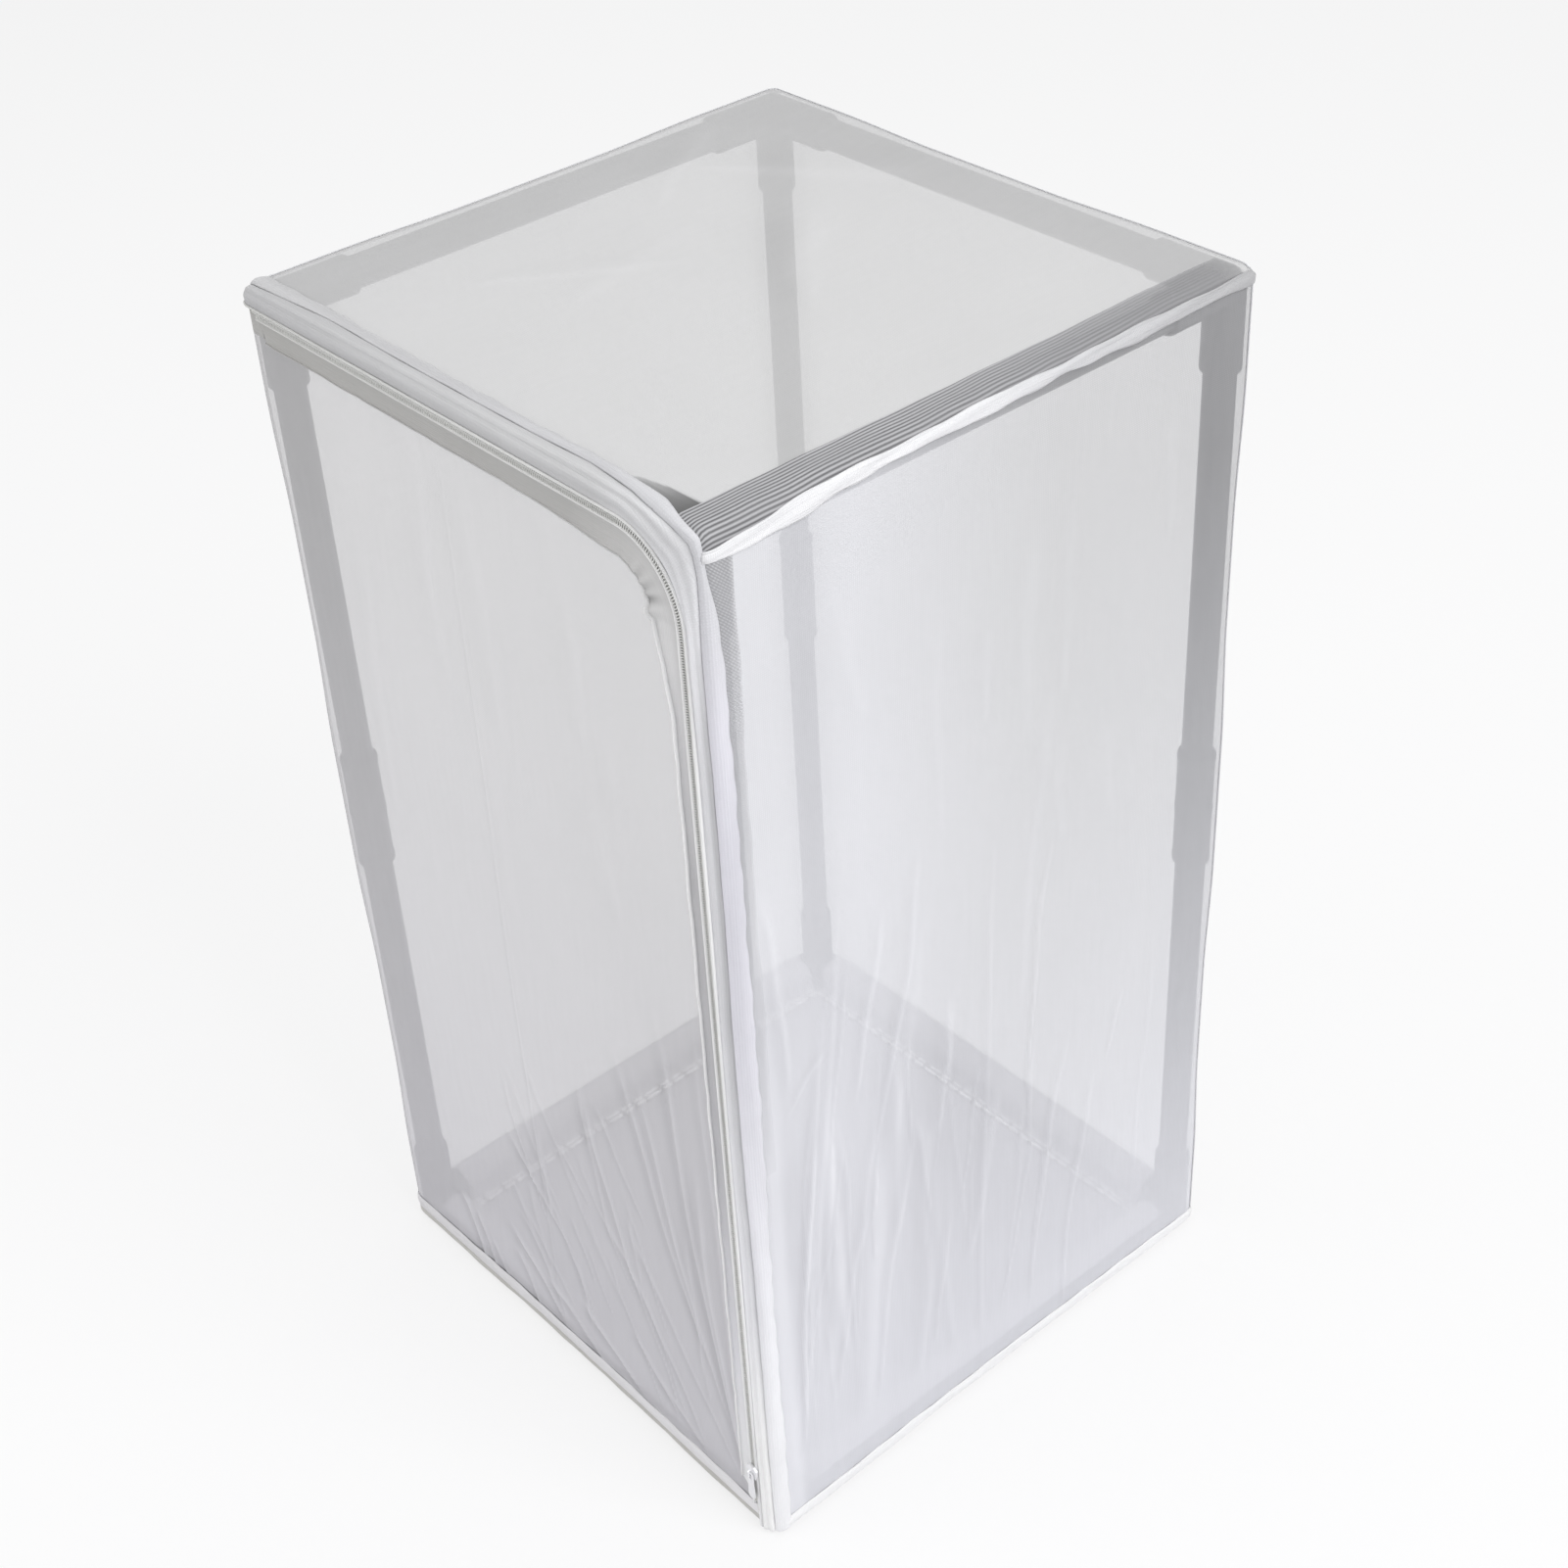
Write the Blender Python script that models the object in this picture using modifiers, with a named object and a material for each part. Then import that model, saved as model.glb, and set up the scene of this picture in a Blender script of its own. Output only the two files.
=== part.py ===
"""Insect cage: plastic tubes in corner elbows and couplers, inside a sewn net cover.

The front face is the door. Its zip runs along the top edge, round the upper right
corner and down the side, so the unzipped cloth folds about the diagonal between the
zip's two ends. Metres, +Z up, origin under the middle of the floor cloth.
"""
import math

import bmesh
import bpy
from mathutils import Matrix, Vector

# Frame: tubes, elbows and couplers. Spans are measured between tube axes.
frame_width = 0.310
frame_depth = 0.310
frame_height = 0.590
tube_radius = 0.008
tube_wall = 0.0012
socket_radius = 0.010
socket_reach = 0.042
socket_seat = 0.012
mouth_chamfer = 0.0006
hub_step = 0.0001
coupler_length = 0.070
coupler_rib = 0.003
fit_gap = 0.0003
overrun = 0.004
weld_reach = 0.00001
round_sides = 16

# Cover: net cloth and the edge strips that join it.
cloth = 0.0006
edge_radius = 0.008
edge_band = 0.010
slack_ease = 0.055
slack_depth = 0.003
fold_depth = 0.0035
fold_rise_share = 0.3
edge_facets = 4
cloth_columns = 12
cloth_rows = 18
lid_cells = 8
sleeve_foot = 0.004
sleeve_open_share = 0.25
sleeve_facets = 9

# Zip: insets are from the cover's outer faces to the line between its two rows.
zip_top_inset = 0.0115
zip_side_inset = 0.0125
zip_bend = 0.038
bend_facets = 9
row_radius = 0.0008
row_channel = 0.0005
tape_width = 0.010
tape_thickness = 0.0005
fold_gap = 0.0003
fold_clearance = 0.0025

# Slider and pull.
slider_length = 0.009
slider_width = 0.0076
slider_tail_width = 0.0056
slider_thickness = 0.0014
slider_park = 0.036
blade_thickness = 0.0004
blade_length = 0.004
foot_length = 0.006
staple_span = 0.0044
staple_wire = 0.0005
pull_thickness = 0.0008
pull_width = 0.004
pull_tip_width = 0.005
pull_length = 0.019
pull_eye_length = 0.0032
pull_eye_width = 0.0019

# Heights and faces that follow from the sizes above.
low_axis = cloth + fit_gap + socket_radius
high_axis = low_axis + frame_height
half_width = frame_width / 2
half_depth = frame_depth / 2
cover_stand_off = socket_radius + fit_gap + cloth
outer_x = half_width + cover_stand_off
outer_y = half_depth + cover_stand_off
outer_z = high_axis + cover_stand_off
cloth_middle = socket_radius + fit_gap + cloth / 2

# Zip line and fold line on the front face.
zip_x = outer_x - zip_side_inset
zip_z = outer_z - zip_top_inset
bend_x = zip_x - zip_bend
bend_z = zip_z - zip_bend
row_offset = row_channel + row_radius
row_edge = row_channel + 2 * row_radius + fit_gap
panel_edge = edge_band + fit_gap
fold_top = Vector((panel_edge - outer_x, 0, zip_z))
fold_foot = Vector((zip_x, 0, panel_edge))
fold_run = (fold_foot - fold_top).normalized()
fold_side = Vector((-fold_run.z, 0, fold_run.x))
front_cloth_y = -half_depth - cloth_middle
front_face_y = -outer_y
tape_y = front_face_y - fit_gap - tape_thickness / 2
row_y = front_face_y - fit_gap - row_radius
wing_y = row_y - row_radius - fit_gap - slider_thickness / 2
pull_y = wing_y - slider_thickness / 2 - fit_gap - pull_thickness / 2
staple_y = pull_y - pull_thickness / 2 - fit_gap - staple_wire
slider_z = fold_foot.z + slider_park
pull_pivot_z = slider_z - staple_span / 2 + staple_wire + fit_gap + pull_thickness / 2

# Each fold runs from a start to an end, in shares of the panel's width and height
# measured from its lower left corner, with a width share and a depth share.
right_fold_shares = (
    ((0.06, 0.10), (0.22, 0.74), 0.07, 1.0),
    ((0.12, 0.06), (0.50, 0.55), 0.08, 0.9),
    ((0.20, 0.04), (0.80, 0.30), 0.09, 0.7),
)
door_fold_shares = (
    ((0.94, 0.06), (0.70, 0.62), 0.08, 1.0),
    ((0.90, 0.04), (0.42, 0.50), 0.08, 0.9),
    ((0.84, 0.03), (0.12, 0.28), 0.09, 0.7),
)
far_fold_shares = (
    ((0.20, 0.08), (0.34, 0.70), 0.09, 0.6),
    ((0.80, 0.10), (0.64, 0.66), 0.09, 0.6),
)


def start_clean():
    """Remove what the scene holds and make the two collections."""
    for item in list(bpy.data.objects):
        bpy.data.objects.remove(item, do_unlink=True)
    parts = bpy.data.collections.new("insect_cage")
    cutters = bpy.data.collections.new("cutters")
    for group in (parts, cutters):
        bpy.context.scene.collection.children.link(group)
    return parts, cutters


parts, cutters = start_clean()


def material(name, colour, roughness, metallic=0.0):
    """One plain surface."""
    made = bpy.data.materials.new(name)
    made.use_nodes = True
    shader = made.node_tree.nodes["Principled BSDF"]
    shader.inputs["Base Color"].default_value = (*colour, 1.0)
    shader.inputs["Roughness"].default_value = roughness
    shader.inputs["Metallic"].default_value = metallic
    return made


def add_part(name, mesh, surface, place=None):
    """A named sub-part from a mesh, with its own copy of its material."""
    item = bpy.data.objects.new(name, mesh)
    parts.objects.link(item)
    item.matrix_world = place if place is not None else Matrix.Identity(4)
    own = surface.copy()
    own.name = name
    if not item.data.materials:
        item.data.materials.append(own)
    item.material_slots[0].link = "OBJECT"
    item.material_slots[0].material = own
    return item


def add_cutter(name, mesh, place=None):
    """A hidden shape that cuts or joins others."""
    item = bpy.data.objects.new(name, mesh)
    cutters.objects.link(item)
    item.matrix_world = place if place is not None else Matrix.Identity(4)
    item.hide_render = True
    item.display_type = "WIRE"
    return item


def boolean(item, operation, other):
    """Cut item by other, join it to other, or keep what they share."""
    step = item.modifiers.new(operation.lower(), "BOOLEAN")
    step.operation = operation
    step.solver = "EXACT"
    step.object = other


def settled_mesh(item):
    """The item's evaluated mesh; the item itself is removed."""
    bpy.context.view_layer.update()
    seen = item.evaluated_get(bpy.context.evaluated_depsgraph_get())
    mesh = bpy.data.meshes.new_from_object(seen)
    bpy.data.objects.remove(item, do_unlink=True)
    return mesh


def shade(mesh, angle=math.radians(40)):
    """Smooth round faces and keep sharp edges."""
    mesh.shade_smooth()
    mesh.set_sharp_from_angle(angle=angle)
    return mesh


def box_mesh(low, high):
    """A box between two corners."""
    low, high = Vector(low), Vector(high)
    mesh = bpy.data.meshes.new("box")
    shape = bmesh.new()
    size = high - low
    place = Matrix.Translation((low + high) / 2) @ Matrix.Diagonal((*size, 1))
    bmesh.ops.create_cube(shape, size=1, matrix=place)
    shape.to_mesh(mesh)
    shape.free()
    return mesh


def rod_mesh(radius, start, end, chamfer=0.0):
    """An upright cylinder between two heights, its upper rim chamfered."""
    mesh = bpy.data.meshes.new("rod")
    shape = bmesh.new()
    place = Matrix.Translation((0, 0, (start + end) / 2))
    bmesh.ops.create_cone(shape, cap_ends=True, segments=round_sides, radius1=radius,
                          radius2=radius, depth=end - start, matrix=place)
    if chamfer:
        middle = (start + end) / 2
        rim = [edge for edge in shape.edges if all(vert.co.z > middle for vert in edge.verts)]
        bmesh.ops.bevel(shape, geom=rim, offset=chamfer, segments=1, affect="EDGES")
    shape.to_mesh(mesh)
    shape.free()
    return mesh


def ball_mesh(radius):
    """A sphere about the origin."""
    mesh = bpy.data.meshes.new("ball")
    shape = bmesh.new()
    bmesh.ops.create_uvsphere(shape, u_segments=round_sides, v_segments=round_sides // 2,
                              radius=radius)
    shape.to_mesh(mesh)
    shape.free()
    return mesh


def turned_mesh(profile):
    """A closed profile of (radius, height) points turned about Z.

    The profile runs down the outer side and back up the inner one.
    """
    mesh = bpy.data.meshes.new("turned")
    shape = bmesh.new()
    points = [shape.verts.new((radius, 0, height)) for radius, height in profile]
    for index, point in enumerate(points):
        shape.edges.new((point, points[(index + 1) % len(points)]))
    shape.to_mesh(mesh)
    shape.free()
    item = bpy.data.objects.new("turned", mesh)
    cutters.objects.link(item)
    screw = item.modifiers.new("turn", "SCREW")
    screw.steps = round_sides
    screw.render_steps = round_sides
    screw.use_merge_vertices = True
    screw.merge_threshold = weld_reach
    return settled_mesh(item)


def plate_mesh(outline, thickness):
    """A flat outline of (x, z) points, stood upright and given a thickness along Y."""
    curve = bpy.data.curves.new("outline", "CURVE")
    curve.dimensions = "2D"
    curve.fill_mode = "BOTH"
    curve.extrude = thickness / 2
    line = curve.splines.new("POLY")
    line.points.add(len(outline) - 1)
    for point, (x, z) in zip(line.points, outline):
        point.co = (x, z, 0, 1)
    line.use_cyclic_u = True
    item = bpy.data.objects.new("outline", curve)
    cutters.objects.link(item)
    mesh = settled_mesh(item)
    weld(mesh)
    mesh.transform(Matrix.Rotation(math.radians(90), 4, "X"))
    return mesh


def wire_mesh(points, radius, resolution=1):
    """A round bar along a line of points, with closed ends."""
    curve = bpy.data.curves.new("wire", "CURVE")
    curve.dimensions = "3D"
    curve.bevel_depth = radius
    curve.bevel_resolution = resolution
    curve.use_fill_caps = True
    line = curve.splines.new("POLY")
    line.points.add(len(points) - 1)
    for point, place in zip(line.points, points):
        point.co = (*place, 1)
    item = bpy.data.objects.new("wire", curve)
    cutters.objects.link(item)
    mesh = settled_mesh(item)
    weld(mesh)
    return mesh


def weld(mesh):
    """Join a curve's loose caps to its sides."""
    shape = bmesh.new()
    shape.from_mesh(mesh)
    bmesh.ops.remove_doubles(shape, verts=shape.verts, dist=weld_reach)
    bmesh.ops.recalc_face_normals(shape, faces=shape.faces)
    shape.to_mesh(mesh)
    shape.free()


# Surfaces
grey_plastic = material("grey_plastic", (0.11, 0.11, 0.115), 0.35)
net = material("net", (0.72, 0.72, 0.74), 0.85)
floor_cloth = material("floor_cloth", (0.50, 0.49, 0.53), 0.85)
tape = material("tape", (0.82, 0.82, 0.86), 0.75)
coil_plastic = material("coil_plastic", (0.80, 0.80, 0.80), 0.40)
slider_metal = material("slider_metal", (0.82, 0.82, 0.85), 0.35, 0.6)


# Frame
def elbow_mesh():
    """Three sockets that meet at right angles, each bored to its seat."""
    turns = (
        Matrix.Identity(4),
        Matrix.Rotation(math.radians(90), 4, "Y"),
        Matrix.Rotation(math.radians(-90), 4, "X"),
    )
    arm = rod_mesh(socket_radius, 0, socket_reach, mouth_chamfer)
    bore = rod_mesh(tube_radius + fit_gap, socket_seat, socket_reach + overrun)
    hub = add_cutter("hub", ball_mesh(socket_radius - hub_step))
    body = add_cutter("elbow_body", arm.copy())
    helpers = [hub]
    boolean(body, "UNION", hub)
    for turn in turns[1:]:
        helpers.append(add_cutter("arm", arm, turn))
        boolean(body, "UNION", helpers[-1])
    for turn in turns:
        helpers.append(add_cutter("bore", bore, turn))
        boolean(body, "DIFFERENCE", helpers[-1])
    mesh = settled_mesh(body)
    for helper in helpers:
        bpy.data.objects.remove(helper, do_unlink=True)
    return shade(mesh)


def build_elbows():
    """One elbow at each corner, its sockets facing along the three edges."""
    mesh = elbow_mesh()
    corners = (
        ("front_left", -1, -1, 0, 90),
        ("front_right", 1, -1, 90, 180),
        ("back_right", 1, 1, 180, 270),
        ("back_left", -1, 1, 270, 0),
    )
    upside_down = Matrix.Rotation(math.radians(180), 4, "X")
    for corner, side_x, side_y, low_turn, high_turn in corners:
        x, y = side_x * half_width, side_y * half_depth
        low = Matrix.Translation((x, y, low_axis)) @ Matrix.Rotation(math.radians(low_turn), 4, "Z")
        high = Matrix.Translation((x, y, high_axis)) @ Matrix.Rotation(math.radians(high_turn), 4, "Z")
        add_part("elbow_bottom_" + corner, mesh, grey_plastic, low)
        add_part("elbow_top_" + corner, mesh, grey_plastic, high @ upside_down)


def tube_mesh(length):
    """A plain tube about Z, centred."""
    half = length / 2
    bore = tube_radius - tube_wall
    profile = ((tube_radius, half), (tube_radius, -half), (bore, -half), (bore, half))
    return shade(turned_mesh(profile))


def coupler_mesh():
    """A sleeve for two tubes, with a stop ring in its middle."""
    half = coupler_length / 2
    rib = coupler_rib / 2
    bore = tube_radius + fit_gap
    stop = tube_radius - tube_wall
    profile = (
        (socket_radius - mouth_chamfer, half),
        (socket_radius, half - mouth_chamfer),
        (socket_radius, mouth_chamfer - half),
        (socket_radius - mouth_chamfer, -half),
        (bore, -half),
        (bore, -rib),
        (stop, -rib),
        (stop, rib),
        (bore, rib),
        (bore, half),
    )
    return shade(turned_mesh(profile))


def build_posts():
    """Each upright is two tubes joined by a coupler at mid height."""
    low_end = low_axis + socket_seat + fit_gap
    middle = low_axis + frame_height / 2
    upper_end = middle - coupler_rib / 2 - fit_gap
    length = upper_end - low_end
    tube = tube_mesh(length)
    coupler = coupler_mesh()
    corners = (("front_left", -1, -1), ("front_right", 1, -1),
               ("back_right", 1, 1), ("back_left", -1, 1))
    for corner, side_x, side_y in corners:
        spot = Vector((side_x * half_width, side_y * half_depth, 0))
        low = spot + Vector((0, 0, low_end + length / 2))
        high = spot + Vector((0, 0, 2 * middle - low_end - length / 2))
        add_part("post_lower_" + corner, tube, grey_plastic, Matrix.Translation(low))
        add_part("post_upper_" + corner, tube, grey_plastic, Matrix.Translation(high))
        centre = spot + Vector((0, 0, middle))
        add_part("coupler_" + corner, coupler, grey_plastic, Matrix.Translation(centre))


def build_rails():
    """Four rails round the floor and four round the top."""
    seat = 2 * (socket_seat + fit_gap)
    across = tube_mesh(frame_width - seat)
    along = tube_mesh(frame_depth - seat)
    turn_x = Matrix.Rotation(math.radians(90), 4, "Y")
    turn_y = Matrix.Rotation(math.radians(90), 4, "X")
    for level, height in (("bottom", low_axis), ("top", high_axis)):
        for side, mesh, turn, x, y in (
            ("front", across, turn_x, 0, -half_depth),
            ("back", across, turn_x, 0, half_depth),
            ("left", along, turn_y, -half_width, 0),
            ("right", along, turn_y, half_width, 0),
        ):
            place = Matrix.Translation((x, y, height)) @ turn
            add_part("rail_" + level + "_" + side, mesh, grey_plastic, place)


# Cover
def rounded_box(name, inset):
    """The cover's envelope with round edges, drawn in by an inset."""
    low = Vector((inset - outer_x, inset - outer_y, inset))
    high = Vector((outer_x - inset, outer_y - inset, outer_z - inset))
    item = add_cutter(name, box_mesh(low, high))
    bevel = item.modifiers.new("edges", "BEVEL")
    bevel.width = edge_radius - inset
    bevel.segments = edge_facets
    bevel.limit_method = "NONE"
    return item


def skin_part(name, low, high, surface, outside, inside):
    """The stretch of the cover's skin that lies between two corners."""
    item = add_part(name, box_mesh(low, high), surface)
    boolean(item, "INTERSECT", outside)
    boolean(item, "DIFFERENCE", inside)
    return item


def build_edge_strips():
    """The strips that round the twelve edges; two of them are the zip's fixed tape."""
    outside = rounded_box("cover_outside", 0)
    inside = rounded_box("cover_inside", cloth)
    zip_side = zip_side_inset - row_channel - fit_gap
    zip_top = zip_top_inset - row_channel - fit_gap
    uprights = (
        ("binding_front_left", -1, -1, edge_band),
        ("zip_tape_side", 1, -1, zip_side),
        ("binding_back_right", 1, 1, edge_band),
        ("binding_back_left", -1, 1, edge_band),
    )
    for name, side_x, side_y, reach in uprights:
        xs = sorted((side_x * (outer_x - reach), side_x * (outer_x + overrun)))
        ys = sorted((side_y * (outer_y - edge_band), side_y * (outer_y + overrun)))
        low = (xs[0], ys[0], -overrun)
        high = (xs[1], ys[1], outer_z + overrun)
        skin_part(name, low, high, tape, outside, inside)
    left = panel_edge - outer_x
    right = outer_x - panel_edge
    front = panel_edge - outer_y
    back = outer_y - panel_edge
    zip_right = outer_x - zip_side - fit_gap
    levels = (
        ("bottom", -overrun, edge_band, edge_band),
        ("top", outer_z - edge_band, outer_z + overrun, zip_top),
    )
    for level, low_z, high_z, front_band in levels:
        front_low = outer_z - front_band if level == "top" else low_z
        name = "zip_tape_top" if level == "top" else "binding_bottom_front"
        skin_part(name, (left, -outer_y - overrun, front_low),
                  (zip_right, edge_band - outer_y, high_z), tape, outside, inside)
        skin_part("binding_" + level + "_back", (left, outer_y - edge_band, low_z),
                  (right, outer_y + overrun, high_z), tape, outside, inside)
        skin_part("binding_" + level + "_left", (-outer_x - overrun, front, low_z),
                  (edge_band - outer_x, back, high_z), tape, outside, inside)
        skin_part("binding_" + level + "_right", (outer_x - edge_band, front, low_z),
                  (outer_x + overrun, back, high_z), tape, outside, inside)


def ease(share):
    """A smooth step from 0 to 1."""
    share = min(max(share, 0.0), 1.0)
    return share * share * (3 - 2 * share)


def cloth_depth(x, z, width, height, folds):
    """How far the cloth hangs in from its flat plane at a point of the panel."""
    rim = ease(min(x, width - x) / slack_ease) * ease(min(z, height - z) / slack_ease)
    depth = slack_depth
    for start, end, width_share, depth_share in folds:
        first = Vector((start[0] * width, start[1] * height))
        last = Vector((end[0] * width, end[1] * height))
        run = last - first
        along = (Vector((x, z)) - first).dot(run) / run.length_squared
        away = (Vector((x, z)) - first - run * along).length / (width_share * width)
        taper = ease((1 - abs(2 * along - 1)) * 2)
        depth += fold_depth * depth_share * taper * (math.exp(-away * away) - fold_rise_share)
    return rim * depth


def cloth_mesh(width, height, columns, rows, folds):
    """A hanging sheet from its lower left corner, in X and Z, hanging in towards +Y."""
    mesh = bpy.data.meshes.new("cloth")
    shape = bmesh.new()
    bmesh.ops.create_grid(shape, x_segments=columns, y_segments=rows, size=0.5)
    for vert in shape.verts:
        x = (vert.co.x + 0.5) * width
        z = (vert.co.y + 0.5) * height
        vert.co = (x, cloth_depth(x, z, width, height, folds), z)
    shape.to_mesh(mesh)
    shape.free()
    return mesh


def thicken(item):
    """Give a sheet its thickness, half to each side."""
    solid = item.modifiers.new("cloth", "SOLIDIFY")
    solid.thickness = cloth
    solid.offset = 0
    solid.use_even_offset = True


def build_walls():
    """The three fixed walls, the lid and the floor cloth."""
    width_x = 2 * (outer_x - panel_edge)
    width_y = 2 * (outer_y - panel_edge)
    height = outer_z - 2 * panel_edge
    walls = (
        ("cover_right", width_y, right_fold_shares, (outer_x - cloth / 2, -width_y / 2), 90),
        ("cover_back", width_x, far_fold_shares, (width_x / 2, outer_y - cloth / 2), 180),
        ("cover_left", width_y, far_fold_shares, (cloth / 2 - outer_x, width_y / 2), 270),
    )
    for name, width, folds, (x, y), turn in walls:
        mesh = cloth_mesh(width, height, cloth_columns, cloth_rows, folds)
        place = Matrix.Translation((x, y, panel_edge)) @ Matrix.Rotation(math.radians(turn), 4, "Z")
        thicken(add_part(name, shade(mesh), net, place))
    lid = cloth_mesh(width_x, width_y, lid_cells, lid_cells, ())
    laid = Matrix.Rotation(math.radians(-90), 4, "X")
    place = Matrix.Translation((-width_x / 2, -width_y / 2, outer_z - cloth / 2)) @ laid
    thicken(add_part("cover_top", shade(lid), net, place))
    low = (-width_x / 2, -width_y / 2, 0)
    high = (width_x / 2, width_y / 2, cloth)
    add_part("cover_bottom", box_mesh(low, high), floor_cloth)


def sleeve_outline(axis):
    """A rail sleeve's section, of (x, z) points: an arch with a flat foot on the floor cloth."""
    inner = socket_radius + fit_gap
    outer = inner + cloth
    foot_low = cloth + fit_gap
    foot_high = foot_low + cloth
    foot_end = axis - outer - sleeve_foot
    over, under = [], []
    for step in range(sleeve_facets + 1):
        turn = math.pi * (sleeve_open_share + (1 - sleeve_open_share) * step / sleeve_facets)
        over.append((axis + outer * math.cos(turn), low_axis + outer * math.sin(turn)))
        under.append((axis + inner * math.cos(turn), low_axis + inner * math.sin(turn)))
    foot = [(axis - outer, foot_high), (foot_end, foot_high), (foot_end, foot_low),
            (axis - inner, foot_low)]
    return over + foot + under[::-1]


def build_sleeves():
    """A sleeve of floor cloth over each of the four rails round the floor."""
    reach = socket_radius + fit_gap + cloth + sleeve_foot
    sides = (
        ("right", 0, half_width, half_depth),
        ("back", 90, half_depth, half_width),
        ("left", 180, half_width, half_depth),
        ("front", 270, half_depth, half_width),
    )
    for side, turn, across, along in sides:
        mesh = plate_mesh(sleeve_outline(across), 2 * (along - reach - fit_gap))
        place = Matrix.Rotation(math.radians(turn), 4, "Z")
        add_part("sleeve_" + side, shade(mesh), floor_cloth, place)


# Door
def zip_line(offset, start_x, end_z):
    """Points (x, z) along the zip, moved out towards the frame by an offset."""
    points = [(start_x, zip_z + offset)]
    for step in range(bend_facets + 1):
        angle = math.radians(90) * (1 - step / bend_facets)
        reach = zip_bend + offset
        points.append((bend_x + reach * math.cos(angle), bend_z + reach * math.sin(angle)))
    points.append((zip_x + offset, end_z))
    return points


def fold_x(height, clearance):
    """Where a line beside the fold, towards the flap, crosses a height."""
    start = fold_top + fold_side * clearance
    return start.x + (height - start.z) * fold_run.x / fold_run.z


def fold_z(x, clearance):
    """Where a line beside the fold, towards the flap, crosses an x."""
    start = fold_top + fold_side * clearance
    return start.z + (x - start.x) * fold_run.z / fold_run.x


def flap_outline(edge, clearance):
    """The flap's outline, drawn in from the zip line by an edge."""
    line = zip_line(-edge, fold_x(zip_z - edge, clearance), fold_z(zip_x - edge, clearance))
    return line


def tape_outline():
    """The flap's zip tape: a band beside the zip, its ends cut along the fold."""
    outer = zip_line(-row_edge, fold_x(zip_z - row_edge, fold_clearance),
                     fold_z(zip_x - row_edge, fold_clearance))
    inner_edge = row_edge + tape_width
    inner = zip_line(-inner_edge, fold_x(zip_z - inner_edge, fold_clearance),
                     fold_z(zip_x - inner_edge, fold_clearance))
    return outer + inner[::-1]


def lower_outline():
    """The sewn lower part of the door, below the fold."""
    left = panel_edge - outer_x
    return (
        (left, panel_edge),
        (fold_x(panel_edge, -fold_gap), panel_edge),
        (left, fold_z(left, -fold_gap)),
    )


def corner_outline():
    """The cloth outside the zip's bend, between it and the two edge strips."""
    square = zip_bend + row_channel
    radius = square + fit_gap
    reach = math.sqrt(radius * radius - square * square)
    first = math.asin(reach / radius)
    points = [(bend_x + square, bend_z + square)]
    for step in range(bend_facets + 1):
        angle = math.radians(90) - first - step / bend_facets * (math.radians(90) - 2 * first)
        points.append((bend_x + radius * math.cos(angle), bend_z + radius * math.sin(angle)))
    return points


def place_upright(mesh, y):
    """Move an upright plate to its depth."""
    mesh.transform(Matrix.Translation((0, y, 0)))
    return mesh


def door_cloth(name, outline):
    """The part of the door's hanging cloth that lies inside an outline."""
    left = panel_edge - outer_x
    width = zip_x - left
    height = zip_z - panel_edge
    mesh = cloth_mesh(width, height, cloth_columns, cloth_rows, door_fold_shares)
    place = Matrix.Translation((left, front_cloth_y, panel_edge))
    item = add_part(name, shade(mesh), net, place)
    thicken(item)
    cutter = place_upright(plate_mesh(outline, 2 * overrun + 2 * cover_stand_off), front_cloth_y)
    boolean(item, "INTERSECT", add_cutter(name + "_outline", cutter))
    return item


def zip_row(name, offset, start_x, end_z):
    """One row of the zip's coil, as the round bead that its turns fill."""
    points = [(x, row_y, z) for x, z in zip_line(offset, start_x, end_z)]
    return add_part(name, shade(wire_mesh(points, row_radius)), coil_plastic)


def build_door():
    """The door's two cloths, its zip tapes and the two rows."""
    door_cloth("door_lower", lower_outline())
    flap = door_cloth("door_flap", flap_outline(row_edge, fold_gap))
    flap_tape = place_upright(plate_mesh(tape_outline(), tape_thickness), tape_y)
    flap_tape = add_part("zip_tape_flap", flap_tape, tape)
    corner = place_upright(plate_mesh(corner_outline(), cloth), front_cloth_y)
    add_part("zip_tape_corner", corner, tape)
    zip_row("zip_row_frame", row_offset, fold_top.x + fit_gap, panel_edge)
    row_start = fold_x(zip_z - row_offset - row_radius, fold_clearance)
    row_end = fold_z(zip_x - row_offset - row_radius, fold_clearance)
    flap_row = zip_row("zip_row_flap", -row_offset, row_start, row_end)
    return flap, flap_tape, flap_row


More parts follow.
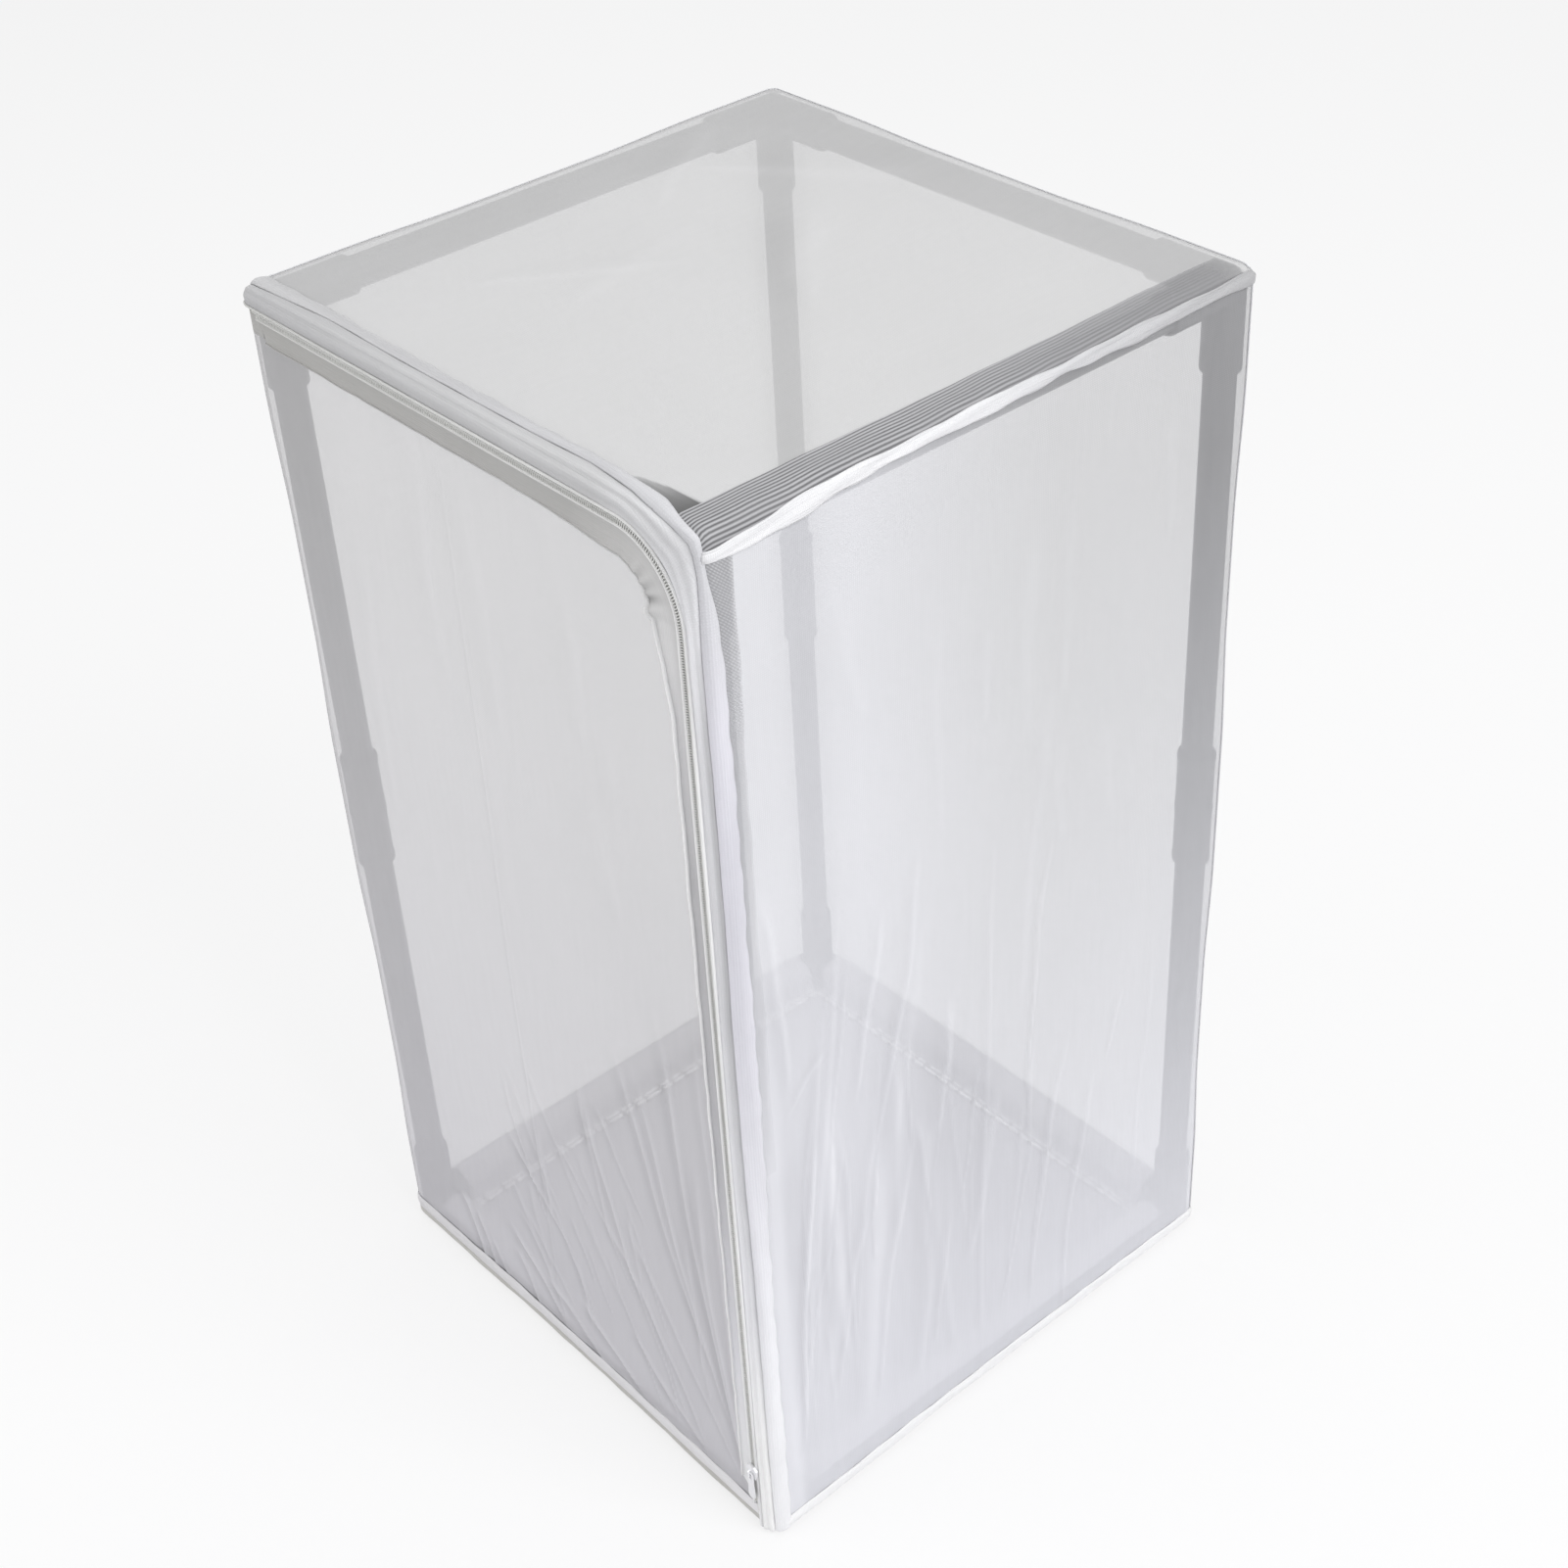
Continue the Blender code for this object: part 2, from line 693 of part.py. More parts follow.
# Slider
def slider_part():
    """The slider: a wing over both rows, a blade between them and a foot behind the flap's."""
    half = slider_length / 2
    nose = slider_width / 2
    tail = slider_tail_width / 2
    outline = (
        (-tail, -half), (tail, -half), (nose, 0), (nose, half - nose / 2),
        (nose / 2, half), (-nose / 2, half), (-nose, half - nose / 2), (-nose, 0),
    )
    outline = [(zip_x + x, slider_z + z) for x, z in outline]
    wing = place_upright(plate_mesh(outline, slider_thickness), wing_y)
    item = add_part("zip_slider", wing, slider_metal)
    foot_back = front_face_y + cloth
    blade_half = blade_thickness / 2
    blade = box_mesh((zip_x - blade_half, wing_y, slider_z - blade_length / 2),
                     (zip_x + blade_half, foot_back, slider_z + blade_length / 2))
    foot = box_mesh((zip_x - row_edge + fit_gap, front_face_y, slider_z - foot_length / 2),
                    (zip_x + blade_half, foot_back, slider_z + foot_length / 2))
    leg = staple_span / 2
    staple = wire_mesh([
        (zip_x, wing_y, slider_z + leg),
        (zip_x, staple_y + staple_wire, slider_z + leg),
        (zip_x, staple_y, slider_z + leg - staple_wire),
        (zip_x, staple_y, slider_z - leg + staple_wire),
        (zip_x, staple_y + staple_wire, slider_z - leg),
        (zip_x, wing_y, slider_z - leg),
    ], staple_wire)
    for name, mesh in (("slider_blade", blade), ("slider_foot", foot), ("slider_staple", staple)):
        boolean(item, "UNION", add_cutter(name, mesh))
    return item


def pull_part():
    """The pull: a flat tab whose eye hangs on the slider's staple."""
    bar = pull_thickness / 2
    half = pull_width / 2
    tip = pull_tip_width / 2
    foot = pull_length - tip
    outline = [(-half, bar), (half, bar), (half, -foot / 2), (tip, -foot)]
    for step in range(1, bend_facets):
        angle = -math.pi * step / bend_facets
        outline.append((tip * math.cos(angle), tip * math.sin(angle) - foot))
    outline += [(-tip, -foot), (-half, -foot / 2)]
    outline = [(zip_x + x, pull_pivot_z + z) for x, z in outline]
    item = add_part("zip_pull", place_upright(plate_mesh(outline, pull_thickness), pull_y),
                    slider_metal)
    eye = pull_eye_width / 2
    hole = box_mesh((zip_x - eye, pull_y - pull_thickness, pull_pivot_z - bar - pull_eye_length),
                    (zip_x + eye, pull_y + pull_thickness, pull_pivot_z - bar))
    boolean(item, "DIFFERENCE", add_cutter("pull_eye", hole))
    return item


def hang_on(name, place, children, parent=None):
    """An empty on a joint's axis that carries the pieces that move with it."""
    axis = bpy.data.objects.new(name, None)
    parts.objects.link(axis)
    axis.matrix_world = place
    bpy.context.view_layer.update()
    if parent is not None:
        axis.parent = parent
        axis.matrix_parent_inverse = parent.matrix_world.inverted()
    for child in children:
        child.parent = axis
        child.matrix_parent_inverse = place.inverted()
    bpy.context.view_layer.update()
    return axis


def build_joints(flap_pieces, slider, pull):
    """Axes: the door's fold, the slider's track and the pull's hinge."""
    fold_centre = (fold_top + fold_foot) / 2
    fold_centre.y = front_face_y
    turn = fold_run.to_track_quat("Z", "Y").to_matrix().to_4x4()
    fold = hang_on("fold_axis", Matrix.Translation(fold_centre) @ turn, flap_pieces)
    track = hang_on("slider_track", Matrix.Translation((zip_x, wing_y, slider_z)), [slider], fold)
    hang_on("pull_axis", Matrix.Translation((zip_x, pull_y, pull_pivot_z)), [pull], track)


build_elbows()
build_posts()
build_rails()
build_edge_strips()
build_walls()
build_sleeves()
build_joints(build_door(), slider_part(), pull_part())
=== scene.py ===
import math
import random

import bmesh
import bpy
import numpy as np
from mathutils import Matrix, Vector


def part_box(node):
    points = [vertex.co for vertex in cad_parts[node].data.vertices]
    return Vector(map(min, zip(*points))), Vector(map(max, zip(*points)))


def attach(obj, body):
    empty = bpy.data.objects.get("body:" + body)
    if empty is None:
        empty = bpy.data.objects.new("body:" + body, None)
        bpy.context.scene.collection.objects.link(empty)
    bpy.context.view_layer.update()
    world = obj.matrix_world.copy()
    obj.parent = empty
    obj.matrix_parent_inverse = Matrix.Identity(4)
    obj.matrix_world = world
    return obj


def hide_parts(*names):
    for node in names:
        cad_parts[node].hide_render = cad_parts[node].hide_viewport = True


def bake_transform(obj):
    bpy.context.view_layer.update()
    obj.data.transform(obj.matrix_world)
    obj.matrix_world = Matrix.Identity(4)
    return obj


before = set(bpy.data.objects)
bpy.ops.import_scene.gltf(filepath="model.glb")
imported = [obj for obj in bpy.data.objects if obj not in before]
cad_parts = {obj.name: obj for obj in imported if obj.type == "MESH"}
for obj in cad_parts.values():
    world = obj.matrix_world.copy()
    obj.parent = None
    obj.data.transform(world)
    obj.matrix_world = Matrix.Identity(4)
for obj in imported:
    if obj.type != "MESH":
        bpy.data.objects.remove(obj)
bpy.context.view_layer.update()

# Cover: half width, lowest and highest point of the net's middle surface, edge radius.
HALF = 0.1656
LOW = 0.0003
HIGH = 0.6115
ROUND = 0.0077

# The edge at the foot is flatter than the others, up to a height where that has faded out.
FOOT = 0.0032
FOOT_FADE = 0.03

# Frame: distance of the tubes' axes from the middle, heights of the rails' axes, radii of a tube, a fitting
# and a fitting's socket, and how far an elbow reaches from the cover's corner.
AXIS = 0.155
RAIL_LOW = 0.0109
RAIL_HIGH = 0.6009
TUBE = 0.008
FITTING = 0.01
SOCKET = 0.0083
ELBOW_REACH = 0.056

# Zip line on the front face, with its bend's radius and centre. Then the crease that the flap folds about: its
# ends, the width of cloth that bends there, and how far off it the flap's trim starts.
FRONT = -0.1659
ZIP_X = 0.1534
ZIP_Z = 0.6003
BEND = 0.038
BEND_X = ZIP_X - BEND
BEND_Z = ZIP_Z - BEND
CREASE_TOP = Vector((-0.1556, FRONT, ZIP_Z))
CREASE_FOOT = Vector((ZIP_X, FRONT, 0.0103))
CREASE_CLEAR = 0.0025

# The fixed tape's two ends, the tapes' thickness, and how far from the zip line the tapes begin, the rows
# of coil lie and the tapes' rounded folds lie.
TAPE_ENDS = (-0.164, 0.0012)
TAPE_THICK = 0.0004
TAPE_INSET = 0.0005
ROW_INSET = 0.0012
FOLD_INSET = 0.0022

# The real net's threads are finer than the photograph's pixels, so they stand at this coarser pitch.
NET_PITCH = 0.0011

MATERIALS = {}


# Materials.
class Nodes:
    """A small helper that adds nodes to one material or world."""

    def __init__(self, name, group="materials", shader="Principled BSDF"):
        self.name = name
        self.owner = getattr(bpy.data, group).new(name)
        self.owner.use_nodes = True
        self.tree = self.owner.node_tree
        self.shader = self.tree.nodes[shader]

    def put(self, socket, value):
        if isinstance(value, bpy.types.NodeSocket):
            self.tree.links.new(value, socket)
        else:
            socket.default_value = value

    def add(self, kind, **values):
        """A node with its sockets and settings. An underscore stands for a space in a socket's name."""
        node = self.tree.nodes.new("ShaderNode" + kind)
        for key, value in values.items():
            socket = key.replace("_", " ")
            if socket in node.inputs.keys():
                self.put(node.inputs[socket], value)
            else:
                setattr(node, key, value)
        return node

    def math(self, operation, *values, clamp=False):
        node = self.add("Math", operation=operation, use_clamp=clamp)
        for socket, value in zip(node.inputs, values):
            self.put(socket, value)
        return node.outputs[0]

    def mix(self, factor, first, second, blend="MIX"):
        node = self.add("Mix", data_type="RGBA", blend_type=blend)
        for index, value in ((0, factor), (6, first), (7, second)):
            self.put(node.inputs[index], (*value, 1) if isinstance(value, tuple) else value)
        return node.outputs[2]

    def noise(self, vector, scale, detail=3.0, rough=0.5):
        return self.add("TexNoise", Vector=vector, Scale=scale, Detail=detail, Roughness=rough).outputs["Fac"]

    def stretch(self, vector, scale=(1, 1, 1), turn=0.0):
        return self.add("Mapping", Vector=vector, Scale=scale, Rotation=(0, 0, turn)).outputs[0]

    def threads(self, vector, pitch, axis, wobble):
        node = self.add("TexWave", bands_direction=axis, Vector=vector, Scale=math.pi / 10 / pitch,
                        Distortion=wobble, Detail_Scale=1.0)
        return node.outputs["Fac"]

    def bump(self, height, distance, strength, **below):
        return self.add("Bump", Height=height, Distance=distance, Strength=strength, **below).outputs["Normal"]

    def ramp(self, value, start, end, stops):
        """Colours along a value between a start and an end, from stops of place, red, green and blue."""
        node = self.add("ValToRGB")
        share = self.add("MapRange", Value=value, From_Min=start, From_Max=end).outputs[0]
        self.put(node.inputs[0], share)
        line = node.color_ramp.elements
        while len(line) < len(stops):
            line.new(1.0)
        for element, (place, *colour) in zip(line, stops):
            element.position = place
            element.color = (*colour, 1)
        return node.outputs["Color"]

    def level(self, value, stops):
        """A number along a value, from its stops in rising order."""
        start, end = stops[0][0], stops[-1][0]
        greys = [((place - start) / (end - start), amount, amount, amount) for place, amount in stops]
        return self.axis(self.ramp(value, start, end, greys), "X")

    def darker(self, colour, factor, least):
        """The colour times a grey between a least value, where the factor is 0, and 1."""
        return self.mix(1.0, colour, self.mix(factor, (least,) * 3, (1.0,) * 3), "MULTIPLY")

    def axis(self, vector, name):
        return self.add("SeparateXYZ", Vector=vector).outputs[name]

    def uv(self):
        return self.add("UVMap", uv_map="cloth").outputs[0]

    def strength(self, name):
        """A strength that the mesh carries: its folds, which bring painted highlight and shade, or its painted
        shade.
        """
        return self.add("Attribute", attribute_name=name).outputs["Fac"]

    def place(self):
        return self.add("TexCoord").outputs["Object"]

    def finish(self, **sockets):
        """Set the shader's sockets, and keep the material under its name."""
        for key, value in sockets.items():
            self.put(self.shader.inputs[key.replace("_", " ")], value)
        MATERIALS[self.name] = self.owner


def net_material(name, top, foot, alpha_top, alpha_foot, lift=0.11, crest_highlight=0.3, trough_shade=0.82, near=0.0):
    """Sheer net that looks denser towards the floor, one border and along its folds, with painted light that
    makes it paler towards the floor and beside that border.
    """
    n = Nodes(name)
    uv = n.uv()
    weave = n.math("MULTIPLY", n.threads(uv, NET_PITCH, "X", 0.6), n.threads(uv, NET_PITCH, "Y", 0.6))
    slub = n.noise(n.stretch(uv, (260, 30, 1)), 1.0)
    cloud = n.noise(uv, 9.0)
    low = n.math("MULTIPLY_ADD", n.axis(uv, "Y"), -1.9, 1.0, clamp=True)
    pale = low
    if near:
        side = n.math("MULTIPLY_ADD", n.axis(uv, "X"), -8.0, 0.33, clamp=True)
        rest = n.math("MULTIPLY", n.math("SUBTRACT", 1.0, low), side)
        pale = n.math("MULTIPLY_ADD", rest, 0.5, low)
        low = n.math("MAXIMUM", low, n.math("MULTIPLY", side, near))
    fold = n.strength("fold")
    shade = n.strength("shade")
    thick = n.math("MULTIPLY_ADD", low, alpha_foot - alpha_top, alpha_top)
    thick = n.math("MULTIPLY_ADD", fold, lift, thick)
    thick = n.math("MULTIPLY_ADD", shade, 0.25, thick)
    thick = n.math("MULTIPLY_ADD", n.math("SUBTRACT", slub, 0.5), 0.05, thick)
    thick = n.math("MULTIPLY_ADD", n.math("SUBTRACT", weave, 0.25), 0.06, thick, clamp=True)
    # Painted light: the tint turns from the top colour to the paler foot colour towards the floor and beside
    # the near border.
    tint = n.darker(n.mix(pale, top, foot), cloud, 0.93)
    # Painted highlight along fold crests, and painted shade in the troughs beside them.
    tint = n.mix(n.math("MULTIPLY", fold, crest_highlight, clamp=True), tint, (0.93, 0.93, 0.97))
    tint = n.darker(tint, n.math("ADD", fold, 1.0, clamp=True), trough_shade)
    # Painted shade where the lid lies on the elbow's arm.
    tint = n.darker(tint, n.math("SUBTRACT", 1.0, shade, clamp=True), 0.15)
    normal = n.bump(n.noise(uv, 300.0, 3.0, 0.6), 0.0006, 0.1)
    normal = n.bump(weave, 0.0002, 0.2, Normal=normal)
    n.finish(Base_Color=tint, Alpha=thick, Roughness=n.math("MULTIPLY_ADD", slub, 0.15, 0.45), Normal=normal,
             Sheen_Weight=0.2, Sheen_Roughness=0.4, Specular_IOR_Level=0.3)


def striped_material(name, dark, light, pitch, turn, contrast, cover, across=None):
    """Doubled net whose threads line up into stripes: contrast and cover are ramps along the strip."""
    n = Nodes(name)
    uv = n.uv()
    along = n.axis(uv, "X")
    lines = n.threads(n.stretch(uv, turn=turn), pitch, "Y", 0.35)
    if across:
        other = n.threads(n.stretch(uv, turn=-turn), across, "Y", 0.5)
        lines = n.math("MULTIPLY", lines, n.math("MULTIPLY_ADD", other, 0.6, 0.4))
    patch = n.math("MULTIPLY_ADD", n.noise(n.stretch(uv, (30, 90, 1)), 1.0), 0.9, 0.5, clamp=True)
    strong = n.math("MULTIPLY", n.level(along, contrast), patch)
    level = n.math("MULTIPLY_ADD", n.math("SUBTRACT", lines, 0.45), strong, 0.4, clamp=True)
    n.finish(Base_Color=n.mix(level, dark, light), Alpha=n.level(along, cover), Roughness=0.5,
             Normal=n.bump(lines, 0.0004, 0.4))


def tape_material(name, colours, span=(0.0, 1.0), alpha=1.0, pitch=0.0009, pleats=0.3):
    """Woven tape of one colour, or of stops along its run: ribs, soft pleats and a slight sheen, and painted
    shade where its fold strength darkens it.
    """
    n = Nodes(name)
    uv = n.uv()
    weave = n.math("MULTIPLY", n.threads(uv, pitch, "X", 0.3), n.threads(uv, pitch * 1.4, "Y", 0.3))
    cloud = n.math("MULTIPLY", n.noise(uv, 40.0, 4.0), 0.6)
    tint = n.ramp(n.axis(uv, "X"), *span, colours) if isinstance(colours[0], tuple) else colours
    # Painted shade: the fold strength darkens pleat troughs, valleys and grooves.
    tint = n.darker(tint, n.math("SUBTRACT", 1.0, n.strength("fold"), clamp=True), 0.42)
    tint = n.darker(tint, n.math("MULTIPLY_ADD", weave, 0.5, cloud, clamp=True), 0.86)
    creases = n.noise(n.stretch(uv, (16, 520, 1)), 1.0, 4.0, 0.6)
    normal = n.bump(weave, 0.00025, 0.5, Normal=n.bump(creases, 0.0016, pleats))
    n.finish(Base_Color=tint, Alpha=alpha, Normal=normal, Roughness=0.55, Sheen_Weight=0.25,
             Specular_IOR_Level=0.35)


def plastic_material(name, colour, rough):
    """Satin moulded plastic with faint mottling and a fine orange-peel."""
    n = Nodes(name)
    place = n.place()
    cloud = n.noise(place, 22.0, 5.0)
    scuff = n.noise(n.stretch(place, (60, 60, 500)), 1.0, 4.0)
    worn = n.math("MULTIPLY_ADD", scuff, 0.4, n.math("MULTIPLY", cloud, 0.6), clamp=True)
    n.finish(Base_Color=n.mix(worn, tuple(part * 0.8 for part in colour), colour),
             Roughness=n.math("MULTIPLY_ADD", cloud, 0.14, rough - 0.07),
             Normal=n.bump(n.noise(place, 900.0, 2.0), 0.0003, 0.15), Specular_IOR_Level=0.5)


def metal_material(name, colour):
    """Plated zinc: brushed, with fine wear."""
    n = Nodes(name)
    place = n.place()
    brushed = n.noise(n.stretch(place, (2500, 2500, 160)), 1.0)
    worn = n.noise(place, 160.0, 4.0)
    n.finish(Base_Color=n.mix(worn, tuple(part * 0.85 for part in colour), colour), Metallic=0.6,
             Roughness=n.math("MULTIPLY_ADD", brushed, 0.2, 0.3), Normal=n.bump(brushed, 0.0002, 0.2))


# Nets: colours and densities at the top and at the foot, then how folds and the near border show. The sides are
# copies of one white net whose colours are set for the light on each side: painted light and shade.
net_material("sheer_net", (0.57, 0.57, 0.585), (0.865, 0.87, 0.925), 0.46, 0.78, 0.13, 0.48, 0.97, 0.98)
net_material("sheer_net_door", (0.7, 0.695, 0.705), (0.73, 0.72, 0.76), 0.6, 0.73, 0.1, 0.25)
net_material("sheer_net_far", (0.78, 0.78, 0.79), (0.8, 0.8, 0.83), 0.42, 0.5, 0.06)
net_material("sheer_net_top", (0.595, 0.595, 0.6), (0.595, 0.595, 0.6), 0.76, 0.76, 0.12)
net_material("doubled_net", (0.74, 0.74, 0.75), (0.8, 0.8, 0.83), 0.42, 0.55)
net_material("doubled_net_thin", (0.52, 0.52, 0.53), (0.62, 0.62, 0.64), 0.22, 0.38)
# The floor cloth is white: its grey, and the sleeves' lighter grey, are painted shade.
net_material("floor_cloth", (0.45, 0.44, 0.48), (0.45, 0.44, 0.48), 0.95, 0.95)
net_material("sleeve_cloth", (0.58, 0.57, 0.6), (0.58, 0.57, 0.6), 0.96, 0.96)
striped_material("striped_net", (0.09, 0.09, 0.095), (0.56, 0.56, 0.58), 0.002, 0.022,
                 ((-0.17, 0.8), (-0.05, 0.75), (0.04, 0.35), (0.16, 0.06)),
                 ((-0.17, 0.92), (0.0, 0.88), (0.14, 0.62), (0.156, 0.25)))
striped_material("crossed_net", (0.36, 0.36, 0.37), (0.72, 0.72, 0.75), 0.0012, 0.75,
                 ((0.0, 0.2), (0.4, 0.4), (0.52, 0.8), (0.61, 0.8)),
                 ((0.0, 0.0), (0.2, 0.0), (0.4, 0.18), (0.52, 0.36), (0.61, 0.72)), 0.0019)

# Tapes: one colour, or stops of place, red, green and blue over a span of the run. The hem, band, zip and lid
# binding tapes, their free edge and their folds are white cloth: the greys in their stops are painted shade,
# the near whites painted light where light falls on them.
tape_material("floor_seam", (0.98, 0.97, 0.99))
tape_material("foot_right", (0.8, 0.79, 0.84), alpha=0.92)
# Painted shade: the door's foot hem is the same binding as the right wall's, and its greyer colour stands for
# the shade on the rounded foot that faces down.
tape_material("foot_front", (0.62, 0.61, 0.58), alpha=0.97)
tape_material("foot_line", (0.97, 0.97, 0.98))
tape_material("stitch_thread", (0.4, 0.4, 0.41), pitch=0.0004)
tape_material("foot_seam", ((0.0, 0.78, 0.77, 0.79), (1.0, 0.88, 0.87, 0.89)), (-0.16, 0.16), pleats=0.4)
tape_material("hem_tape", (
    (0.0, 0.5, 0.5, 0.51), (0.29, 0.6, 0.6, 0.61), (0.335, 0.74, 0.74, 0.76), (0.375, 0.9, 0.9, 0.93),
    (0.8, 0.9, 0.9, 0.94), (0.92, 0.99, 0.99, 0.99)), (0.0, 0.91), pleats=0.3)
tape_material("band_tape", (
    (0.0, 0.56, 0.56, 0.57), (0.28, 0.58, 0.58, 0.6), (0.35, 0.7, 0.7, 0.73), (0.42, 0.82, 0.81, 0.88),
    (0.5, 0.77, 0.76, 0.83), (0.62, 0.8, 0.79, 0.86), (0.84, 0.95, 0.95, 0.99), (1.0, 0.97, 0.97, 0.99)),
    (0.0, 0.91), pleats=0.25)
# Painted shade: the lid's binding greys from the near corner towards the far end.
tape_material("binding_lid_tape", (
    (0.0, 0.9, 0.9, 0.92), (0.45, 0.8, 0.8, 0.82), (0.62, 0.64, 0.64, 0.66), (1.0, 0.44, 0.44, 0.45)),
    (-0.15, 0.16), pleats=0.5)
tape_material("zip_tape", (
    (0.0, 0.44, 0.435, 0.42), (0.26, 0.47, 0.465, 0.455), (0.32, 0.64, 0.635, 0.63), (0.37, 0.78, 0.775, 0.78),
    (0.43, 0.68, 0.675, 0.69), (0.51, 0.55, 0.545, 0.56), (0.7, 0.57, 0.565, 0.59), (0.85, 0.84, 0.835, 0.88),
    (0.95, 0.98, 0.98, 0.99)), (0.0, 0.88), pitch=0.0007, pleats=0.35)
tape_material("tape_edge", (
    (0.0, 0.44, 0.43, 0.42), (0.31, 0.68, 0.68, 0.68), (0.36, 0.98, 0.98, 0.99), (1.0, 0.97, 0.97, 0.98)),
    (0.0, 0.88))
tape_material("piping", (
    (0.0, 0.7, 0.7, 0.68), (0.3, 0.86, 0.86, 0.85), (0.38, 0.97, 0.97, 0.97), (1.0, 0.97, 0.97, 0.98)),
    (0.0, 0.88))

plastic_material("coil_nylon", (0.86, 0.86, 0.84), 0.45)
plastic_material("frame_plastic", (0.085, 0.085, 0.09), 0.3)
metal_material("zip_metal", (0.93, 0.93, 0.95))


# Sums on points.
def between(value, stops):
    """The amount at a value, from stops of place and amount in rising order."""
    places, amounts = zip(*stops)
    return np.interp(value, places, amounts)


def ease(value):
    """A soft step from 0 at 0 to 1 at 1."""
    value = np.clip(value, 0, 1)
    return value * value * (3 - 2 * value)


def bell(value, width):
    """1 at 0, falling to nothing a few widths away."""
    return np.exp(-(value / width) ** 2)


def unit(vectors, least=1e-12):
    return vectors / np.maximum(np.linalg.norm(vectors, axis=1, keepdims=True), least)


def run_of(path):
    """Distance along a path at each of its points."""
    return np.concatenate(([0], np.cumsum(np.linalg.norm(np.diff(path, axis=0), axis=1))))


def resample(path, run, places):
    """Points of a path at other places along its run."""
    return np.stack([np.interp(places, run, path[:, axis]) for axis in range(path.shape[1])], 1)


# Meshes.
def add_object(name, data, material=None):
    item = bpy.data.objects.new(name, data)
    bpy.context.scene.collection.objects.link(item)
    if material:
        data.materials.append(material)
    return item


def make(name, points, faces, material, uv=None, fold=None, shade=None):
    """A smooth mesh object from points and faces, with flat cloth coordinates, fold strength and painted shade.
    """
    mesh = bpy.data.meshes.new(name)
    mesh.from_pydata([tuple(point) for point in points], [], [tuple(face) for face in faces])
    if uv is not None:
        layer = mesh.uv_layers.new(name="cloth")
        corner = np.array([loop.vertex_index for loop in mesh.loops])
        layer.data.foreach_set("uv", np.asarray(uv, np.float32)[corner].ravel())
    for kind, strength in (("fold", fold), ("shade", shade)):
        if strength is not None:
            attribute = mesh.attributes.new(kind, "FLOAT", "POINT")
            attribute.data.foreach_set("value", np.asarray(strength, np.float32))
    mesh.update()
    mesh.shade_smooth()
    return add_object(name, mesh, MATERIALS[material])


def grid_faces(columns, rows):
    """Quads of a grid whose points run row by row."""
    starts = [row * columns + column for row in range(rows - 1) for column in range(columns - 1)]
    return [(first, first + 1, first + columns + 1, first + columns) for first in starts]


def lathe(profile, sides):
    """Points and faces of a closed (radius, height) profile turned about Z."""
    points, faces = [], []
    size = len(profile)
    for step in range(sides):
        angle = 2 * math.pi * step / sides
        points += [(radius * math.cos(angle), radius * math.sin(angle), height) for radius, height in profile]
        here, there = step * size, (step + 1) % sides * size
        for index in range(size):
            after = (index + 1) % size
            faces.append((here + index, there + index, there + after, here + after))
    return points, faces


def round_bar(path, radius, sides):
    """Points and faces of a bar with closed ends along a path."""
    path = np.asarray(path, float)
    tangent = unit(np.gradient(path, axis=0))
    normal = unit(np.cross(tangent, np.cross((0.0, -1.0, 0.0), tangent)))
    other = np.cross(tangent, normal)
    points, faces = [], []
    for side in range(sides):
        angle = 2 * math.pi * side / sides
        points.append(path + radius * (math.cos(angle) * normal + math.sin(angle) * other))
    for first in range(0, (len(path) - 1) * sides, sides):
        for side in range(sides):
            after = (side + 1) % sides
            faces.append((first + side, first + after, first + sides + after, first + sides + side))
    last = (len(path) - 1) * sides
    faces += [tuple(range(sides))[::-1], tuple(range(last, last + sides))]
    return np.stack(points, 1).reshape(-1, 3), faces


def join(shapes):
    """Points and faces of several shapes together."""
    points, faces = [], []
    for some_points, some_faces in shapes:
        faces.extend(tuple(index + len(points) for index in face) for face in some_faces)
        points.extend(some_points)
    return points, faces


def bar_uv(line, sides):
    """Cloth coordinates for a bar: its run along the line and its way round."""
    run = run_of(line)
    return np.stack((np.repeat(run, sides), np.tile(np.arange(sides) * 0.0004, len(run))), 1)


def ribbon(name, lines, material, run, folds=None, thick=0.0):
    """A strip through rows of points of equal count, with cloth coordinates in metres."""
    count, rows = len(lines[0]), len(lines)
    across = np.zeros((rows, count))
    for row in range(1, rows):
        across[row] = across[row - 1] + np.linalg.norm(lines[row] - lines[row - 1], axis=1)
    uv = np.stack((np.tile(run, rows), across.ravel()), 1)
    fold = np.zeros(count * rows) if folds is None else np.concatenate(folds)
    item = make(name, np.concatenate(lines), grid_faces(count, rows), material, uv, fold)
    if thick:
        solid = item.modifiers.new("thick", "SOLIDIFY")
        solid.thickness = thick
        solid.offset = 0
        bpy.context.view_layer.update()
        shown = item.evaluated_get(bpy.context.evaluated_depsgraph_get())
        mesh = bpy.data.meshes.new_from_object(shown)
        item.modifiers.clear()
        item.data = mesh
    return item


# Bodies.
crease_out = (CREASE_FOOT - CREASE_TOP).cross(Vector((0, -1, 0))).normalized()
if crease_out.z < 0:
    crease_out = -crease_out


def fit(item, slot, *nodes, bends=False):
    """The piece rides on the cage, or on the flap's side of the crease keeps its place with its transform
    applied, and stands for CAD nodes.
    """
    if bends:
        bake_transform(item)
    else:
        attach(item, "cage")
    if nodes:
        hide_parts(*nodes)
    return item


